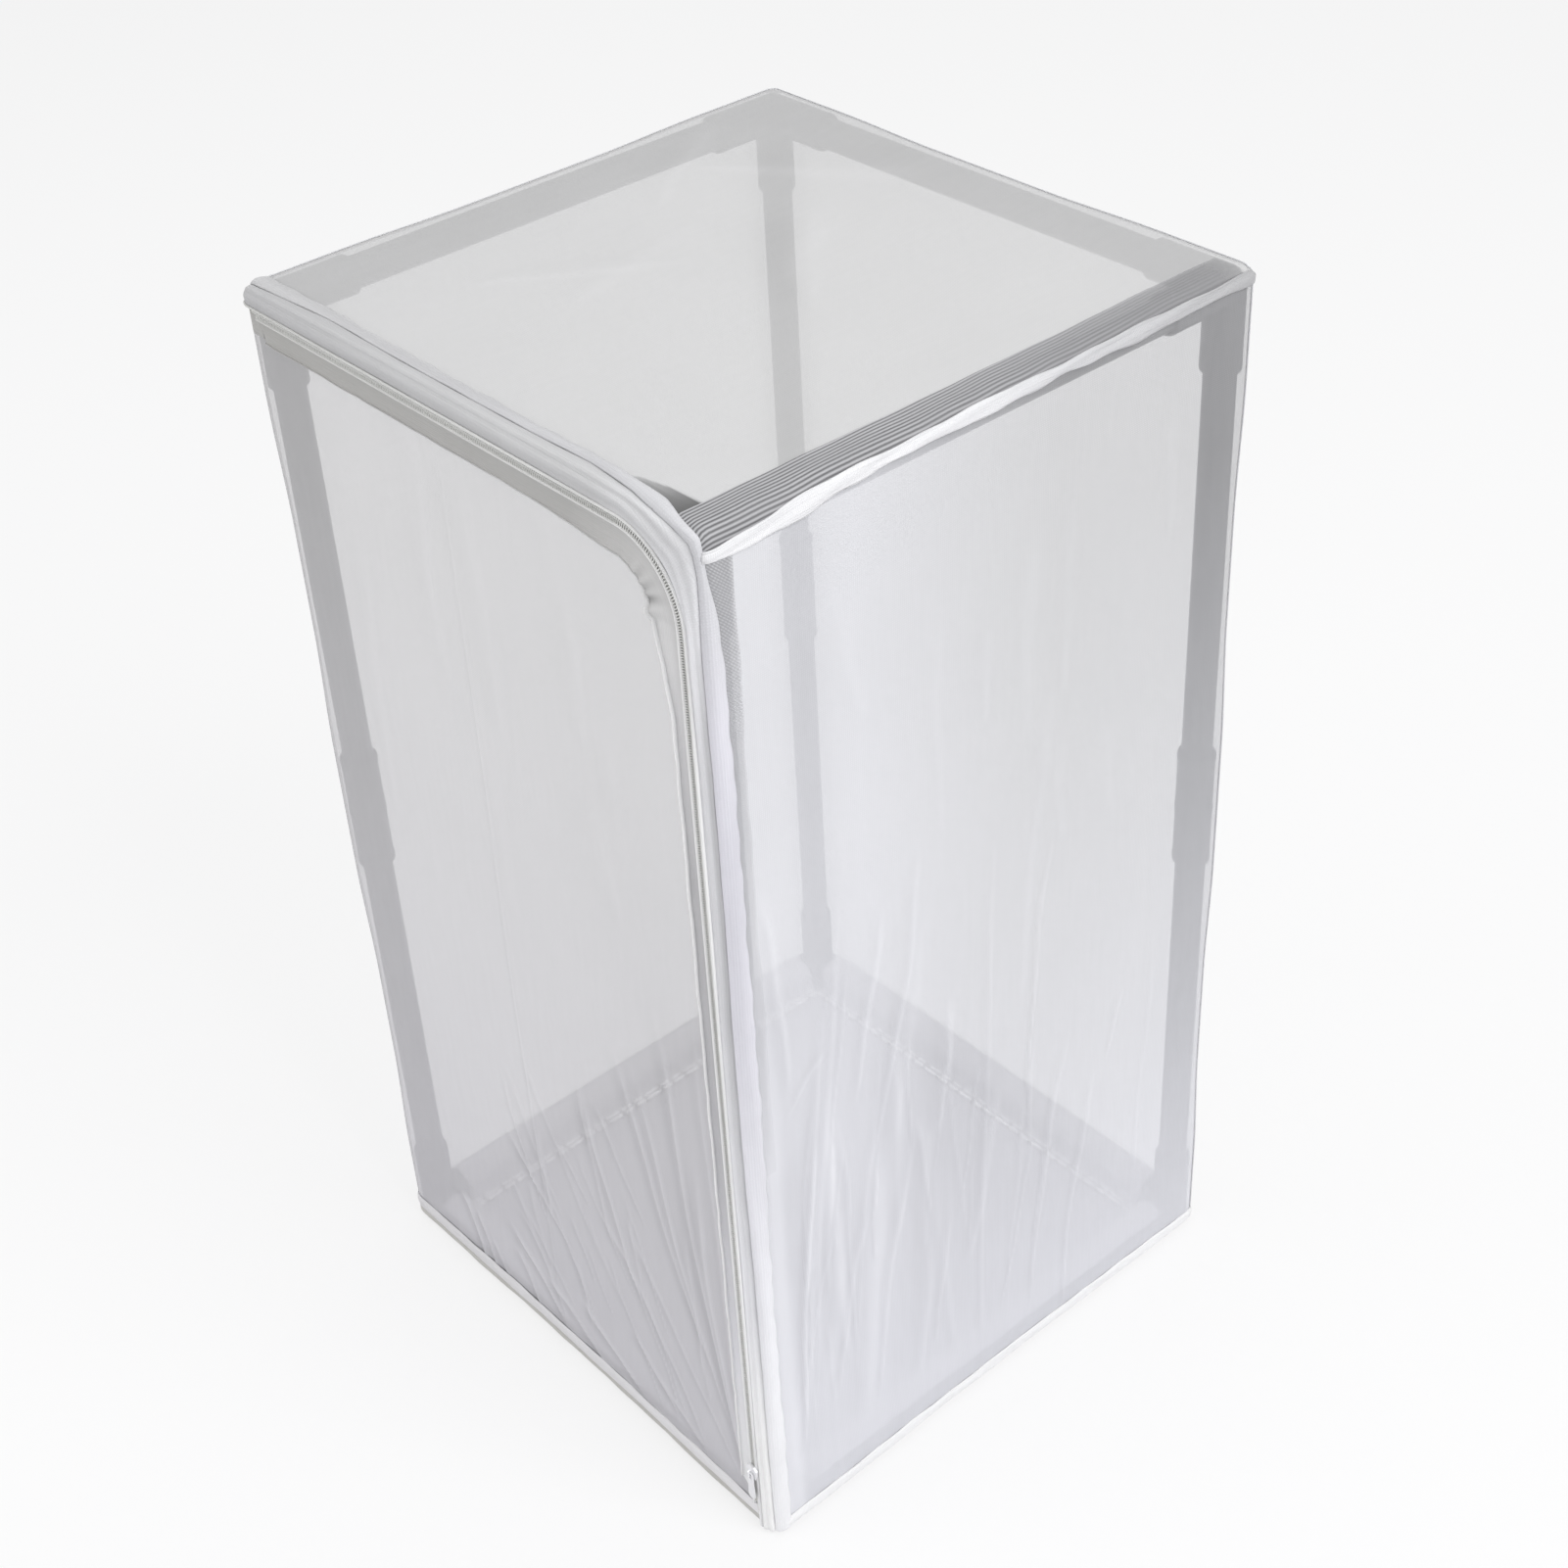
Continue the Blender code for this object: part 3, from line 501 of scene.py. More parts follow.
# Form of the cover.
def wrap(sharp, lift=0.0):
    """Points of the sharp box laid on the cover's rounded envelope, moved out by a lift."""
    sharp = np.asarray(sharp, float)
    low = np.array([ROUND - HALF, ROUND - HALF, LOW + ROUND])
    high = np.array([HALF - ROUND, HALF - ROUND, HIGH - ROUND])
    inner = np.clip(sharp, low, high)
    normal = unit(sharp - inner, 1e-9)
    points = inner + normal * (ROUND + np.broadcast_to(lift, len(sharp)))[:, None]
    height = points[:, 2] - LOW
    flat = between(height, ((-0.001, -0.001), (0, 0), (ROUND, FOOT), (FOOT_FADE, FOOT_FADE)))
    points[:, 2] = LOW + np.where(height < FOOT_FADE, flat, height)
    return points


def side_points(side, a, b):
    """Points of the sharp box from a side's own coordinates."""
    one = np.ones_like(a)
    return np.stack({
        "front": (a, -HALF * one, b), "right": (HALF * one, a, b), "back": (-a, HALF * one, b),
        "left": (-HALF * one, -a, b), "top": (a, b, HIGH * one), "bottom": (a, -b, LOW * one),
    }[side], 1)


# Fittings hold the cover out; between them it draws in a little.
def past_fitting_up(z):
    """Distance along an upright from its nearest elbow or coupler."""
    spans = ((0.0, ELBOW_REACH), (0.268, 0.346), (0.555, 0.62))
    return np.min([np.maximum(np.maximum(low - z, z - high), 0) for low, high in spans], axis=0)


def past_fitting_along(a):
    """Distance along a rail from its nearest elbow."""
    return np.maximum(HALF - ELBOW_REACH - np.abs(a), 0)


def draw_up(z):
    """Draw-in of an upright edge by height."""
    return 0.0017 * ease(past_fitting_up(z) / 0.075)


def draw_along(a):
    """Draw-in of a level edge by its place along the side."""
    return 0.0014 * ease(past_fitting_along(a) / 0.07)


def outside_tube(lift, inset, past):
    """The lift, held outside the tube or fitting that lies under it at an inset from the edge."""
    radius = FITTING + 0.0002 - (FITTING - TUBE) * ease(past / 0.004)
    surface = np.sqrt(np.maximum(radius ** 2 - (inset - (HALF - AXIS)) ** 2, 0))
    return np.maximum(lift, surface - (HALF - AXIS))


def ridges(a, b, lines):
    """Lift and strength of a set of creases on a side; the strength makes the net denser and paints a highlight
    on each crest and shade in the trough beside it.
    """
    lift = np.zeros_like(a)
    strong = np.zeros_like(a)
    for (a0, b0), (a1, b1), bow, width, height in lines:
        run = np.array([a1 - a0, b1 - b0])
        length = np.hypot(*run)
        run = run / length
        along = ((a - a0) * run[0] + (b - b0) * run[1]) / length
        inside = np.clip(along, 0, 1)
        off = (a - a0) * -run[1] + (b - b0) * run[0] - bow * 4 * inside * (1 - inside)
        phase = a0 * 900 + b0 * 700
        off = off - 0.0011 * min(length / 0.1, 1.6) * np.sin(along * 9 + phase) * inside
        wide = width * (0.75 + 0.8 * inside)
        taper = ease(along / 0.18 + 0.5) * ease((1 - along) / 0.3 + 0.3)
        taper = np.where((along < -0.09) | (along > 1.09), 0, taper)
        crest = np.exp(-np.abs(off / wide) ** 1.8) * taper
        trough = bell(off - 2.4 * wide, 1.8 * wide) * taper * 0.45
        lift += height * (crest - trough)
        much = np.clip(height / 0.0012, 0, 1)
        strong += (bell(off, 0.8 * wide) * taper - 1.3 * trough) * much
    return lift, np.clip(strong, -1, 1)


def arm_shade(a, b):
    """Painted shade on the lid where it lies on the near elbow's dark arm: the net there is made darker and
    denser.
    """
    border = between(a, ((0.108, -0.153), (0.112, -0.15), (0.128, -0.1468), (0.15, -0.1462)))
    tone = between(a, ((0.107, 0), (0.113, 0.48), (0.124, 0.62), (0.135, 0.82), (0.146, 0.98)))
    return ease((border - b) / 0.0012) * tone


def drop_flat_faces(item):
    """Drop the faces that a cut has collapsed."""
    shape = bmesh.new()
    shape.from_mesh(item.data)
    bmesh.ops.remove_doubles(shape, verts=shape.verts, dist=0.00002)
    flat = [face for face in shape.faces if face.calc_area() < 1e-10]
    bmesh.ops.delete(shape, geom=flat, context="FACES")
    bmesh.ops.delete(shape, geom=[vert for vert in shape.verts if not vert.link_faces], context="VERTS")
    shape.to_mesh(item.data)
    shape.free()


def net_panel(name, side, material, lines, sag, columns, rows, cut=None, swell=None):
    """One side of the net, from sharp edge to sharp edge of the rounded envelope."""
    level_side = side in ("top", "bottom")
    low_b, high_b = (-HALF, HALF) if level_side else (LOW, HIGH)
    draw, past = (draw_along, past_fitting_along) if level_side else (draw_up, past_fitting_up)
    grid = np.meshgrid(np.linspace(-HALF, HALF, columns), np.linspace(low_b, high_b, rows))
    a, b = (part.ravel() for part in grid)
    if cut:
        a, b = cut(a, b)
    to_upright = HALF - np.abs(a)
    to_level = np.minimum(b - low_b, high_b - b)
    edge = draw(b) * np.exp(-to_upright / 0.02) + draw_along(a) * np.exp(-to_level / 0.02)
    hold = ease(to_upright / 0.06) * ease(to_level / 0.06)
    rim = ease(to_upright / 0.009) * ease(to_level / 0.009)
    lift, strong = ridges(a, b, lines)
    lift = lift * rim - edge - sag * hold
    if swell:
        lift = lift + swell(a, b) * hold
    lift = outside_tube(lift, to_upright, past(b))
    lift = outside_tube(lift, to_level, past_fitting_along(a))
    shade = arm_shade(a, b) if side == "top" else np.zeros_like(a)
    if side == "right":
        # Painted light: the cloth beside the near edge is made denser and paler low down, through its fold
        # strength.
        strong = strong + 0.7 * ease((-0.14 - a) / 0.008) * ease((0.42 - b) / 0.25)
    points = wrap(side_points(side, a, b), lift)
    item = make(name, points, grid_faces(columns, rows), material, np.stack((a, b), 1), strong, shade)
    if cut:
        drop_flat_faces(item)
    return item


# Frame.
def tube_profile(half):
    """A tube with softened ends: outer side first."""
    return [(TUBE, 0.0004 - half), (0.0076, -half), (0.0068, -half),
            (0.0068, half), (0.0076, half), (TUBE, half - 0.0004)]


def coupler_profile(half):
    """Inner side, then outer side: rounded mouths and a low middle rib."""
    outer = [(0.0088, half), (0.0096, half - 0.0003), (FITTING, half - 0.001), (FITTING, half - 0.004),
             (0.0097, half - 0.0046), (0.0097, 0.002), (FITTING, 0.0014)]
    mirrored = [(radius, -height) for radius, height in outer]
    return [(SOCKET, half), (SOCKET, -half)] + mirrored + outer[::-1]


def elbow(name, corner, towards):
    """Three sockets round one hub, with rolled mouths."""
    arm = [(0.0002, 0.03), (SOCKET, 0.03), (SOCKET, 0.0416), (0.0088, 0.042), (0.0096, 0.0418),
           (FITTING, 0.0412), (FITTING, 0.0358), (0.0099, 0.0352), (0.0099, 0.0), (0.0002, 0.0)]
    base = bpy.data.meshes.new("arm")
    points, faces = lathe(arm, 40)
    base.from_pydata(points, [], faces)
    shape = bmesh.new()
    for angle, axis in ((0, "X"), (90, "Y"), (-90, "X")):
        other = base.copy()
        other.transform(Matrix.Rotation(math.radians(angle), 4, axis))
        shape.from_mesh(other)
        bpy.data.meshes.remove(other)
    bmesh.ops.create_uvsphere(shape, u_segments=40, v_segments=24, radius=0.0099)
    signs = [math.copysign(1, value) for value in towards]
    mirror = Matrix.Diagonal((*signs, 1))
    bmesh.ops.transform(shape, matrix=Matrix.Translation(corner) @ mirror, verts=shape.verts)
    if math.prod(signs) < 0:
        bmesh.ops.reverse_faces(shape, faces=shape.faces)
    mesh = bpy.data.meshes.new(name)
    shape.to_mesh(mesh)
    shape.free()
    mesh.shade_smooth()
    return add_object(name, mesh, MATERIALS["frame_plastic"])


def straight(name, centre, size, kind):
    """A tube or coupler along the longest axis of its box."""
    axis = max(range(3), key=lambda index: size[index])
    half = size[axis] / 2
    profile = coupler_profile(half) if kind == "coupler" else tube_profile(half)
    item = make(name, *lathe(profile, 48), "frame_plastic")
    run = Vector([1.0 if index == axis else 0.0 for index in range(3)])
    turn = Vector((0, 0, 1)).rotation_difference(run)
    item.data.transform(Matrix.Translation(centre) @ turn.to_matrix().to_4x4())
    return item


# Round tubes, couplers and elbows in place of the faceted ones.
for node in sorted(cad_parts):
    kind = node.split("_")[0]
    if kind not in ("post", "rail", "coupler", "elbow"):
        continue
    low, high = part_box(node)
    centre = (low + high) / 2
    if kind == "elbow":
        corner = Vector((math.copysign(AXIS, centre.x), math.copysign(AXIS, centre.y),
                         RAIL_LOW if "bottom" in node else RAIL_HIGH))
        item = elbow(node + "_round", corner, centre - corner)
    else:
        item = straight(node + "_round", centre, high - low, kind)
    item.data.set_sharp_from_angle(angle=math.radians(35))
    fit(item, "frame_plastic", node)


# Creases of the net.
def scattered(seed, count, spread, lean, lengths, widths, heights):
    """Small creases strewn over a side: spread is (low a, high a, low b, high b)."""
    draw = random.Random(seed)
    made = []
    for _ in range(count):
        a = draw.uniform(*spread[:2])
        b = draw.uniform(*spread[2:])
        angle = math.radians(draw.gauss(*lean))
        length = draw.uniform(*lengths)
        end = (a + length * math.cos(angle), b + length * math.sin(angle))
        bow = draw.uniform(-0.03, 0.03) * length
        made.append(((a, b), end, bow, draw.uniform(*widths), draw.uniform(*heights)))
    return made


def seen(rows, spread=1.0, rise=1.0):
    """Creases from rows in millimetres: start, end, bow, width and height, the last two scaled."""
    return [((a0 / 1000, b0 / 1000), (a1 / 1000, b1 / 1000), bow / 1000,
             width * spread / 1000, height * rise / 1000)
            for a0, b0, a1, b1, bow, width, height in rows]


DOOR_LINES = seen((
    (-22, 8, -17, 585, 0.5, 0.7, 0.45),
    (60, 104, 30, 222, 2, 1.6, 0.9), (116, 100, 66, 270, 4, 1.7, 0.9), (140, 40, 102, 308, 6, 1.8, 1.0),
    (40, 130, 26, 226, 1, 1.4, 0.6), (146, 100, 151, 360, 1, 2.0, 0.8), (-16, 22, -62, 60, -1, 1.6, 1.3),
    (54, 22, 4, 50, 1, 1.6, 1.2), (86, 30, 52, 66, 1, 1.5, 0.9), (106, 32, 36, 142, -3, 1.6, 0.8),
    (132, 60, 80, 262, 5, 1.6, 0.8), (72, 165, 41, 226, 1, 1.3, 0.6), (22, 142, 0, 172, 0, 1.2, 0.6),
    (136, 30, 60, 150, 3, 1.4, 0.6), (146, 22, 120, 230, 5, 2.2, 0.9), (142, 60, 132, 330, 2, 1.5, 0.5),
    (20, 18, -30, 44, -1, 1.5, 0.9), (110, 22, 70, 48, 1, 1.4, 0.8),
    (-92, 17, -112, 52, -1, 1.5, 1.1), (-82, 17, -98, 46, -1, 1.3, 1.0), (-70, 17, -84, 34, 0, 1.2, 0.8),
    (-40, 17, -58, 44, -1, 1.4, 0.9)))
DOOR_LINES += scattered(
    5, 24, (-0.04, 0.12, 0.02, 0.12), (112, 8), (0.04, 0.11), (0.0008, 0.0018), (0.0003, 0.0006))
DOOR_LINES += scattered(
    6, 9, (-0.13, 0.12, 0.3, 0.5), (90, 6), (0.06, 0.16), (0.003, 0.006), (0.0001, 0.0003))

RIGHT_LINES = seen((
    (-139, 70, -110, 330, 5, 1.5, 1.0), (-140, 60, -122, 264, 2, 1.3, 0.8), (-82, 230, -49, 385, -3, 1.8, 0.9),
    (-10, 30, 1, 360, 2, 1.5, 0.7), (29, 36, 54, 210, 3, 1.5, 0.8), (54, 18, 77, 175, 3, 1.4, 0.8),
    (86, 180, 96, 220, 0, 1.3, 0.7), (-85, 52, -58, 214, 3, 1.8, 0.8), (-46, 156, -54, 228, 0, 1.5, 0.7),
    (-136, 288, -112, 310, 1, 1.4, 0.6), (-136, 306, -146, 422, -2, 2.4, 0.9),
    (-118, 150, -110, 250, 1, 1.6, 0.7), (-113, 76, -90, 186, 2, 1.6, 0.7), (-44, 56, -31, 140, 1, 1.5, 0.7),
    (-93, 270, -72, 370, 1, 2.0, 0.9), (-20, 120, -34, 300, 2, 1.3, 0.4), (10, 40, 24, 190, 1, 1.2, 0.4),
    (-100, 90, -74, 300, 3, 1.3, 0.5), (112, 60, 120, 240, 1, 1.5, 0.4), (-128, 100, -96, 400, 4, 1.7, 0.6)),
    0.9, 0.6)
RIGHT_LINES += scattered(
    11, 14, (-0.14, 0.02, 0.03, 0.26), (85, 4), (0.07, 0.2), (0.0026, 0.006), (0.0002, 0.0005))
RIGHT_LINES += scattered(
    13, 20, (-0.14, 0.06, 0.02, 0.24), (86, 4), (0.05, 0.16), (0.0006, 0.0012), (0.0002, 0.0005))
RIGHT_LINES += scattered(
    12, 8, (-0.12, 0.12, 0.34, 0.5), (90, 6), (0.05, 0.14), (0.003, 0.006), (0.0001, 0.0003))

BACK_LINES, LEFT_LINES = (
    scattered(seed, 16, (-0.12, 0.12, 0.04, 0.4), (lean, 7), (0.08, 0.22), (0.0012, 0.003), (0.0002, 0.0006))
    for seed, lean in ((21, 88), (31, 92)))
TOP_LINES = scattered(
    41, 6, (-0.12, 0.1, -0.12, 0.1), (60, 40), (0.05, 0.12), (0.004, 0.008), (0.0001, 0.0002))


# Panels.
def zip_cut(a, b):
    """Move the door's points that lie beyond the zip back onto its line."""
    inset = 0.003
    x = np.minimum(a, ZIP_X - inset)
    z = np.minimum(b, ZIP_Z - inset)
    dx, dz = x - BEND_X, z - BEND_Z
    far = np.hypot(dx, dz)
    beyond = (x > BEND_X) & (z > BEND_Z) & (far > BEND - inset)
    scale = np.where(beyond, (BEND - inset) / np.maximum(far, 1e-9), 1)
    return BEND_X + dx * scale, BEND_Z + dz * scale


def door_swell(a, b):
    """The door hangs in below its bend and is pulled tight along its diagonal."""
    return -0.0012 * np.sin((a + HALF) * 18) * np.cos(b * 9)


for side, material, lines, sag, columns, rows in (
    ("right", "sheer_net", RIGHT_LINES, 0.0032, 221, 361),
    ("back", "sheer_net_far", BACK_LINES, 0.0035, 121, 201),
    ("left", "sheer_net_far", LEFT_LINES, 0.0035, 121, 201),
    ("top", "sheer_net_top", TOP_LINES, 0.003, 301, 301),
):
    item = net_panel("net_" + side, side, material, lines, sag, columns, rows)
    fit(item, "sheer_net", "cover_" + side)
floor_net = net_panel("floor_sheet", "bottom", "floor_cloth", [], -0.0003, 61, 61)
fit(floor_net, "floor_cloth", "cover_bottom")
door = net_panel("net_door", "front", "sheer_net_door", DOOR_LINES, 0.003, 221, 361, zip_cut, door_swell)
fit(door, "sheer_net", "door_flap", "door_lower", bends=True)


def sleeve(side, turn):
    """Floor cloth that passes over a rail and is sewn down inside it, with its two seam lines."""
    count, end, radius = 90, 0.1396, 0.0106
    run = np.linspace(-end, end, count)
    section = [(AXIS + radius * math.cos(angle), RAIL_LOW + radius * math.sin(angle))
               for angle in np.radians(np.linspace(45, 176, 16))]
    section += [(0.1438, 0.0022), (0.1432, 0.0013), (0.1416, 0.0012), (0.1401, 0.0012)]
    lines = []
    for row, (u, z) in enumerate(section):
        share = row / (len(section) - 1)
        wave = 0.00025 * np.sin(run * 90 + 4 * share + turn) * math.sin(math.pi * share)
        lines.append(np.stack((np.full(count, u), run, z + wave), 1))
    cloth = ribbon("sleeve_" + side + "_cloth", lines, "sleeve_cloth", run, thick=0.0005)
    seam_z = 0.002 + 0.0001 * np.sin(run * 300)
    points, faces = join([round_bar(np.stack((np.full(count, u), run, seam_z), 1), 0.0013, 6)
                          for u in (0.1432, 0.1396)])
    seam = make("sleeve_" + side + "_seam", points, faces, "floor_seam", np.zeros((len(points), 2)))
    for item in (cloth, seam):
        item.data.transform(Matrix.Rotation(math.radians(turn), 4, "Z"))
    return [fit(cloth, "floor_cloth", "sleeve_" + side), fit(seam, "floor_cloth")]


sleeves = []
for side, turn in (("right", 0), ("back", 90), ("left", 180), ("front", 270)):
    sleeves += sleeve(side, turn)


# Zip.
def zip_path(offset, start_x, end_z, step=0.0016):
    """Points (x, z) along the zip line, moved out towards the frame by an offset, and the run."""
    reach = BEND + offset
    lengths = (BEND_X - start_x, reach * math.pi / 2, BEND_Z - end_z)
    total = sum(lengths)
    count = max(int(total / step), 2)
    points = []
    for index in range(count + 1):
        s = total * index / count
        if s <= lengths[0]:
            points.append((start_x + s, ZIP_Z + offset))
        elif s <= lengths[0] + lengths[1]:
            angle = math.pi / 2 - (s - lengths[0]) / reach
            points.append((BEND_X + reach * math.cos(angle), BEND_Z + reach * math.sin(angle)))
        else:
            points.append((ZIP_X + offset, BEND_Z - (s - lengths[0] - lengths[1])))
    return np.array(points), np.linspace(0, total, count + 1)


def crease_ends(top, side):
    """Where the flap's trim starts: x on the zip's top part and z on its side part, each moved in so far."""
    start = CREASE_TOP + crease_out * CREASE_CLEAR
    run = CREASE_FOOT - CREASE_TOP
    return (start.x + (ZIP_Z - top - start.z) * run.x / run.z,
            start.z + (ZIP_X - side - start.x) * run.z / run.x)


def on_front(line, y):
    return np.stack((line[:, 0], np.broadcast_to(y, len(line)), line[:, 1]), 1)


def inward(line):
    """Unit directions in the door's plane, from the zip line towards the door's middle."""
    step = unit(np.gradient(line, axis=0))
    return np.stack((step[:, 1], -step[:, 0]), 1)


def coil(name, offset, phase, ends):
    """One row of the zip: a continuous flattened coil whose turns reach over the middle."""
    line, run = zip_path(offset, *ends, 0.0004)
    pitch = 0.0013
    s = np.linspace(0, run[-1], int(run[-1] / pitch) * 10)
    line = resample(line, run, s)
    angle = 2 * math.pi * (s / pitch + phase)
    y = FRONT - 0.0011 + 0.00055 * np.sin(angle)
    path = on_front(line + inward(line) * (0.00115 * np.cos(angle))[:, None], y)
    return make(name, *round_bar(path, 0.00031, 5), "coil_nylon")


coils = [
    fit(coil("zip_coil_cage", ROW_INSET, 0.0, (CREASE_TOP.x + 0.0003, 0.0106)), "zip_coil", "zip_row_frame"),
    fit(coil("zip_coil_flap", -ROW_INSET, 0.5, crease_ends(0.0021, 0.0021)), "zip_coil", "zip_row_flap",
        bends=True)]


def rim_bar(name, offset, ends, **body):
    """The rounded fold of tape that runs beside a row of the zip."""
    line, _ = zip_path(offset, *ends)
    thick = between(np.linspace(0, 1, len(line)), ((0.3, 0.0006), (0.38, 0.00082)))
    points, faces = round_bar(wrap(side_points("front", line[:, 0], line[:, 1]), 0.0019), thick[:, None], 8)
    return fit(make(name, points, faces, "piping", bar_uv(line, 8)), "white_tape", **body)


def flap_tape():
    """The flap's tape: wider round the bend, with a free edge that curls up below it."""
    lines, folds = [], []
    wide_top, wide_bend, wide_side = 0.0122, 0.0172, 0.0092
    for share in np.arange(21) / 20:
        ends = crease_ends(TAPE_INSET + share * wide_top, TAPE_INSET + share * wide_side)
        line, run = zip_path(-TAPE_INSET, *ends)
        if lines:
            spread = np.linspace(0, run[-1], len(lines[0]))
            line, run = resample(line, run, spread), spread
        s = run / run[-1]
        width = between(s, ((0, wide_top), (0.24, wide_top), (0.33, wide_bend), (0.37, wide_bend),
                            (0.43, wide_side), (1, wide_side)))
        line = line + inward(line) * (share * width)[:, None]
        wave = np.sin(s * 61 + 0.6 * np.sin(s * 17)) * 0.00035 + np.sin(s * 143) * 0.00018
        bend = bell(s - 0.352, 0.022)
        wave = wave + bend * np.sin(s * 520) * 0.0006
        curl = bell(s - 0.368, 0.0055) * 0.0026 * share ** 3
        lip = 0.0008 * share ** 6
        y = FRONT - 0.00055 * (1 - bell(share, 0.12)) - share * (0.0004 + np.abs(wave) * share) - lip - curl
        lines.append(on_front(line, y))
        # Painted shade: the pleats' troughs round the bend, a painted shadow under the curl, and a groove along
        # the tape.
        dark = bend * (0.5 - 0.5 * np.sin(s * 520)) * share ** 2 * 0.55
        dark = dark + 0.8 * bell(s - 0.357, 0.0035) * share ** 3
        groove_shade = 0.35 * bell(share - 0.25, 0.2) * between(s, ((0.3, 0.2), (0.42, 1), (0.85, 1), (1.0, 0.2)))
        folds.append(np.clip(dark + groove_shade, 0, 1))
    cloth = ribbon("zip_tape_flap_cloth", lines, "zip_tape", run, folds, TAPE_THICK)
    fit(cloth, "white_tape", "zip_tape_flap", bends=True)
    edge = lines[-1] - (0, 0.0002, 0)
    thick = between(s, ((0, 0.00042), (0.34, 0.00046), (0.37, 0.0011), (0.55, 0.00085), (1, 0.00065)))
    points, faces = round_bar(edge, thick[:, None], 6)
    lip = make("zip_tape_flap_edge", points, faces, "tape_edge", bar_uv(edge, 6))
    fit(lip, "white_tape", bends=True)
    ends = crease_ends(FOLD_INSET, FOLD_INSET)
    return [cloth, lip, rim_bar("zip_tape_flap_fold", -FOLD_INSET, ends, bends=True)]


def tape_start():
    """The fixed start of the door's tape, from the left edge to where the flap's tape begins."""
    places = np.linspace(-0.1652, -0.15, 12)
    lines = [wrap(side_points("front", places, np.full(12, ZIP_Z - TAPE_INSET - width)), 0.0002)
             for width in np.linspace(0, 0.0118, 5)]
    return fit(ribbon("hem_front_start", lines, "zip_tape", places - places[0], thick=0.0003), "white_tape")


# Hem: the fixed tape, from the coil over the front edge.
def outer_target(line):
    """Where the cloth outside each point of the zip meets the sharp top or side edge."""
    x, z = line[:, 0], line[:, 1]
    corner = (x > BEND_X) & (z > BEND_Z)
    share = np.clip(np.arctan2(z - BEND_Z, x - BEND_X) / (math.pi / 2), 0, 1)
    tx = np.where(share > 0.5, BEND_X + (HALF - BEND_X) * (1 - share) * 2, HALF)
    tz = np.where(share > 0.5, HIGH, BEND_Z + (HIGH - BEND_Z) * share * 2)
    tx = np.where(corner, tx, np.where(z >= BEND_Z, x, HALF))
    tz = np.where(corner, tz, np.where(z >= BEND_Z, HIGH, z))
    return np.stack((tx, tz), 1)


# How far in from the sharp edge the pleated band ends (below zero: on the front), and the outer band ends:
# from the left along the lid's front, then by depth below the lid down the near edge.
VALLEY = (((-0.1656, 0.0035), (-0.1, 0.0072), (0.09, 0.008), (0.12, 0.0056), (0.135, 0.0026),
           (0.146, -0.0002), (0.156, -0.0034), (0.1656, -0.0066)),
          ((0.0, -0.0066), (0.007, -0.0038), (0.018, -0.002), (0.1, -0.0026), (0.45, -0.0022),
           (0.6, -0.0008)))
BORDER = (((-0.1656, 0.012), (-0.12, 0.0126), (0.09, 0.0128), (0.113, 0.0124), (0.136, 0.0096),
           (0.153, 0.0044), (0.1656, 0.0008)),
          ((0.0, 0.0008), (0.01, 0.0028), (0.025, 0.0049), (0.044, 0.0072), (0.067, 0.0082), (0.112, 0.0096),
           (0.15, 0.01), (0.612, 0.0098)))


def along_border(target, on_lid, on_side):
    """A distance in from the sharp edge, from its stops along the lid's front and down the near edge."""
    on_top = target[:, 1] > HIGH - 1e-6
    return np.where(on_top, between(target[:, 0], on_lid), between(HIGH - target[:, 1], on_side))


def over_edge(line, target, across):
    """Sharp-box points at distances across the fixed band: over the front, then beyond the edge."""
    first = np.linalg.norm(target - line, axis=1)
    share = np.clip(across / first, 0, 1)
    flat = line + (target - line) * share[:, None]
    return np.stack((flat[:, 0], np.maximum(across - first, 0) - HALF, flat[:, 1]), 1)


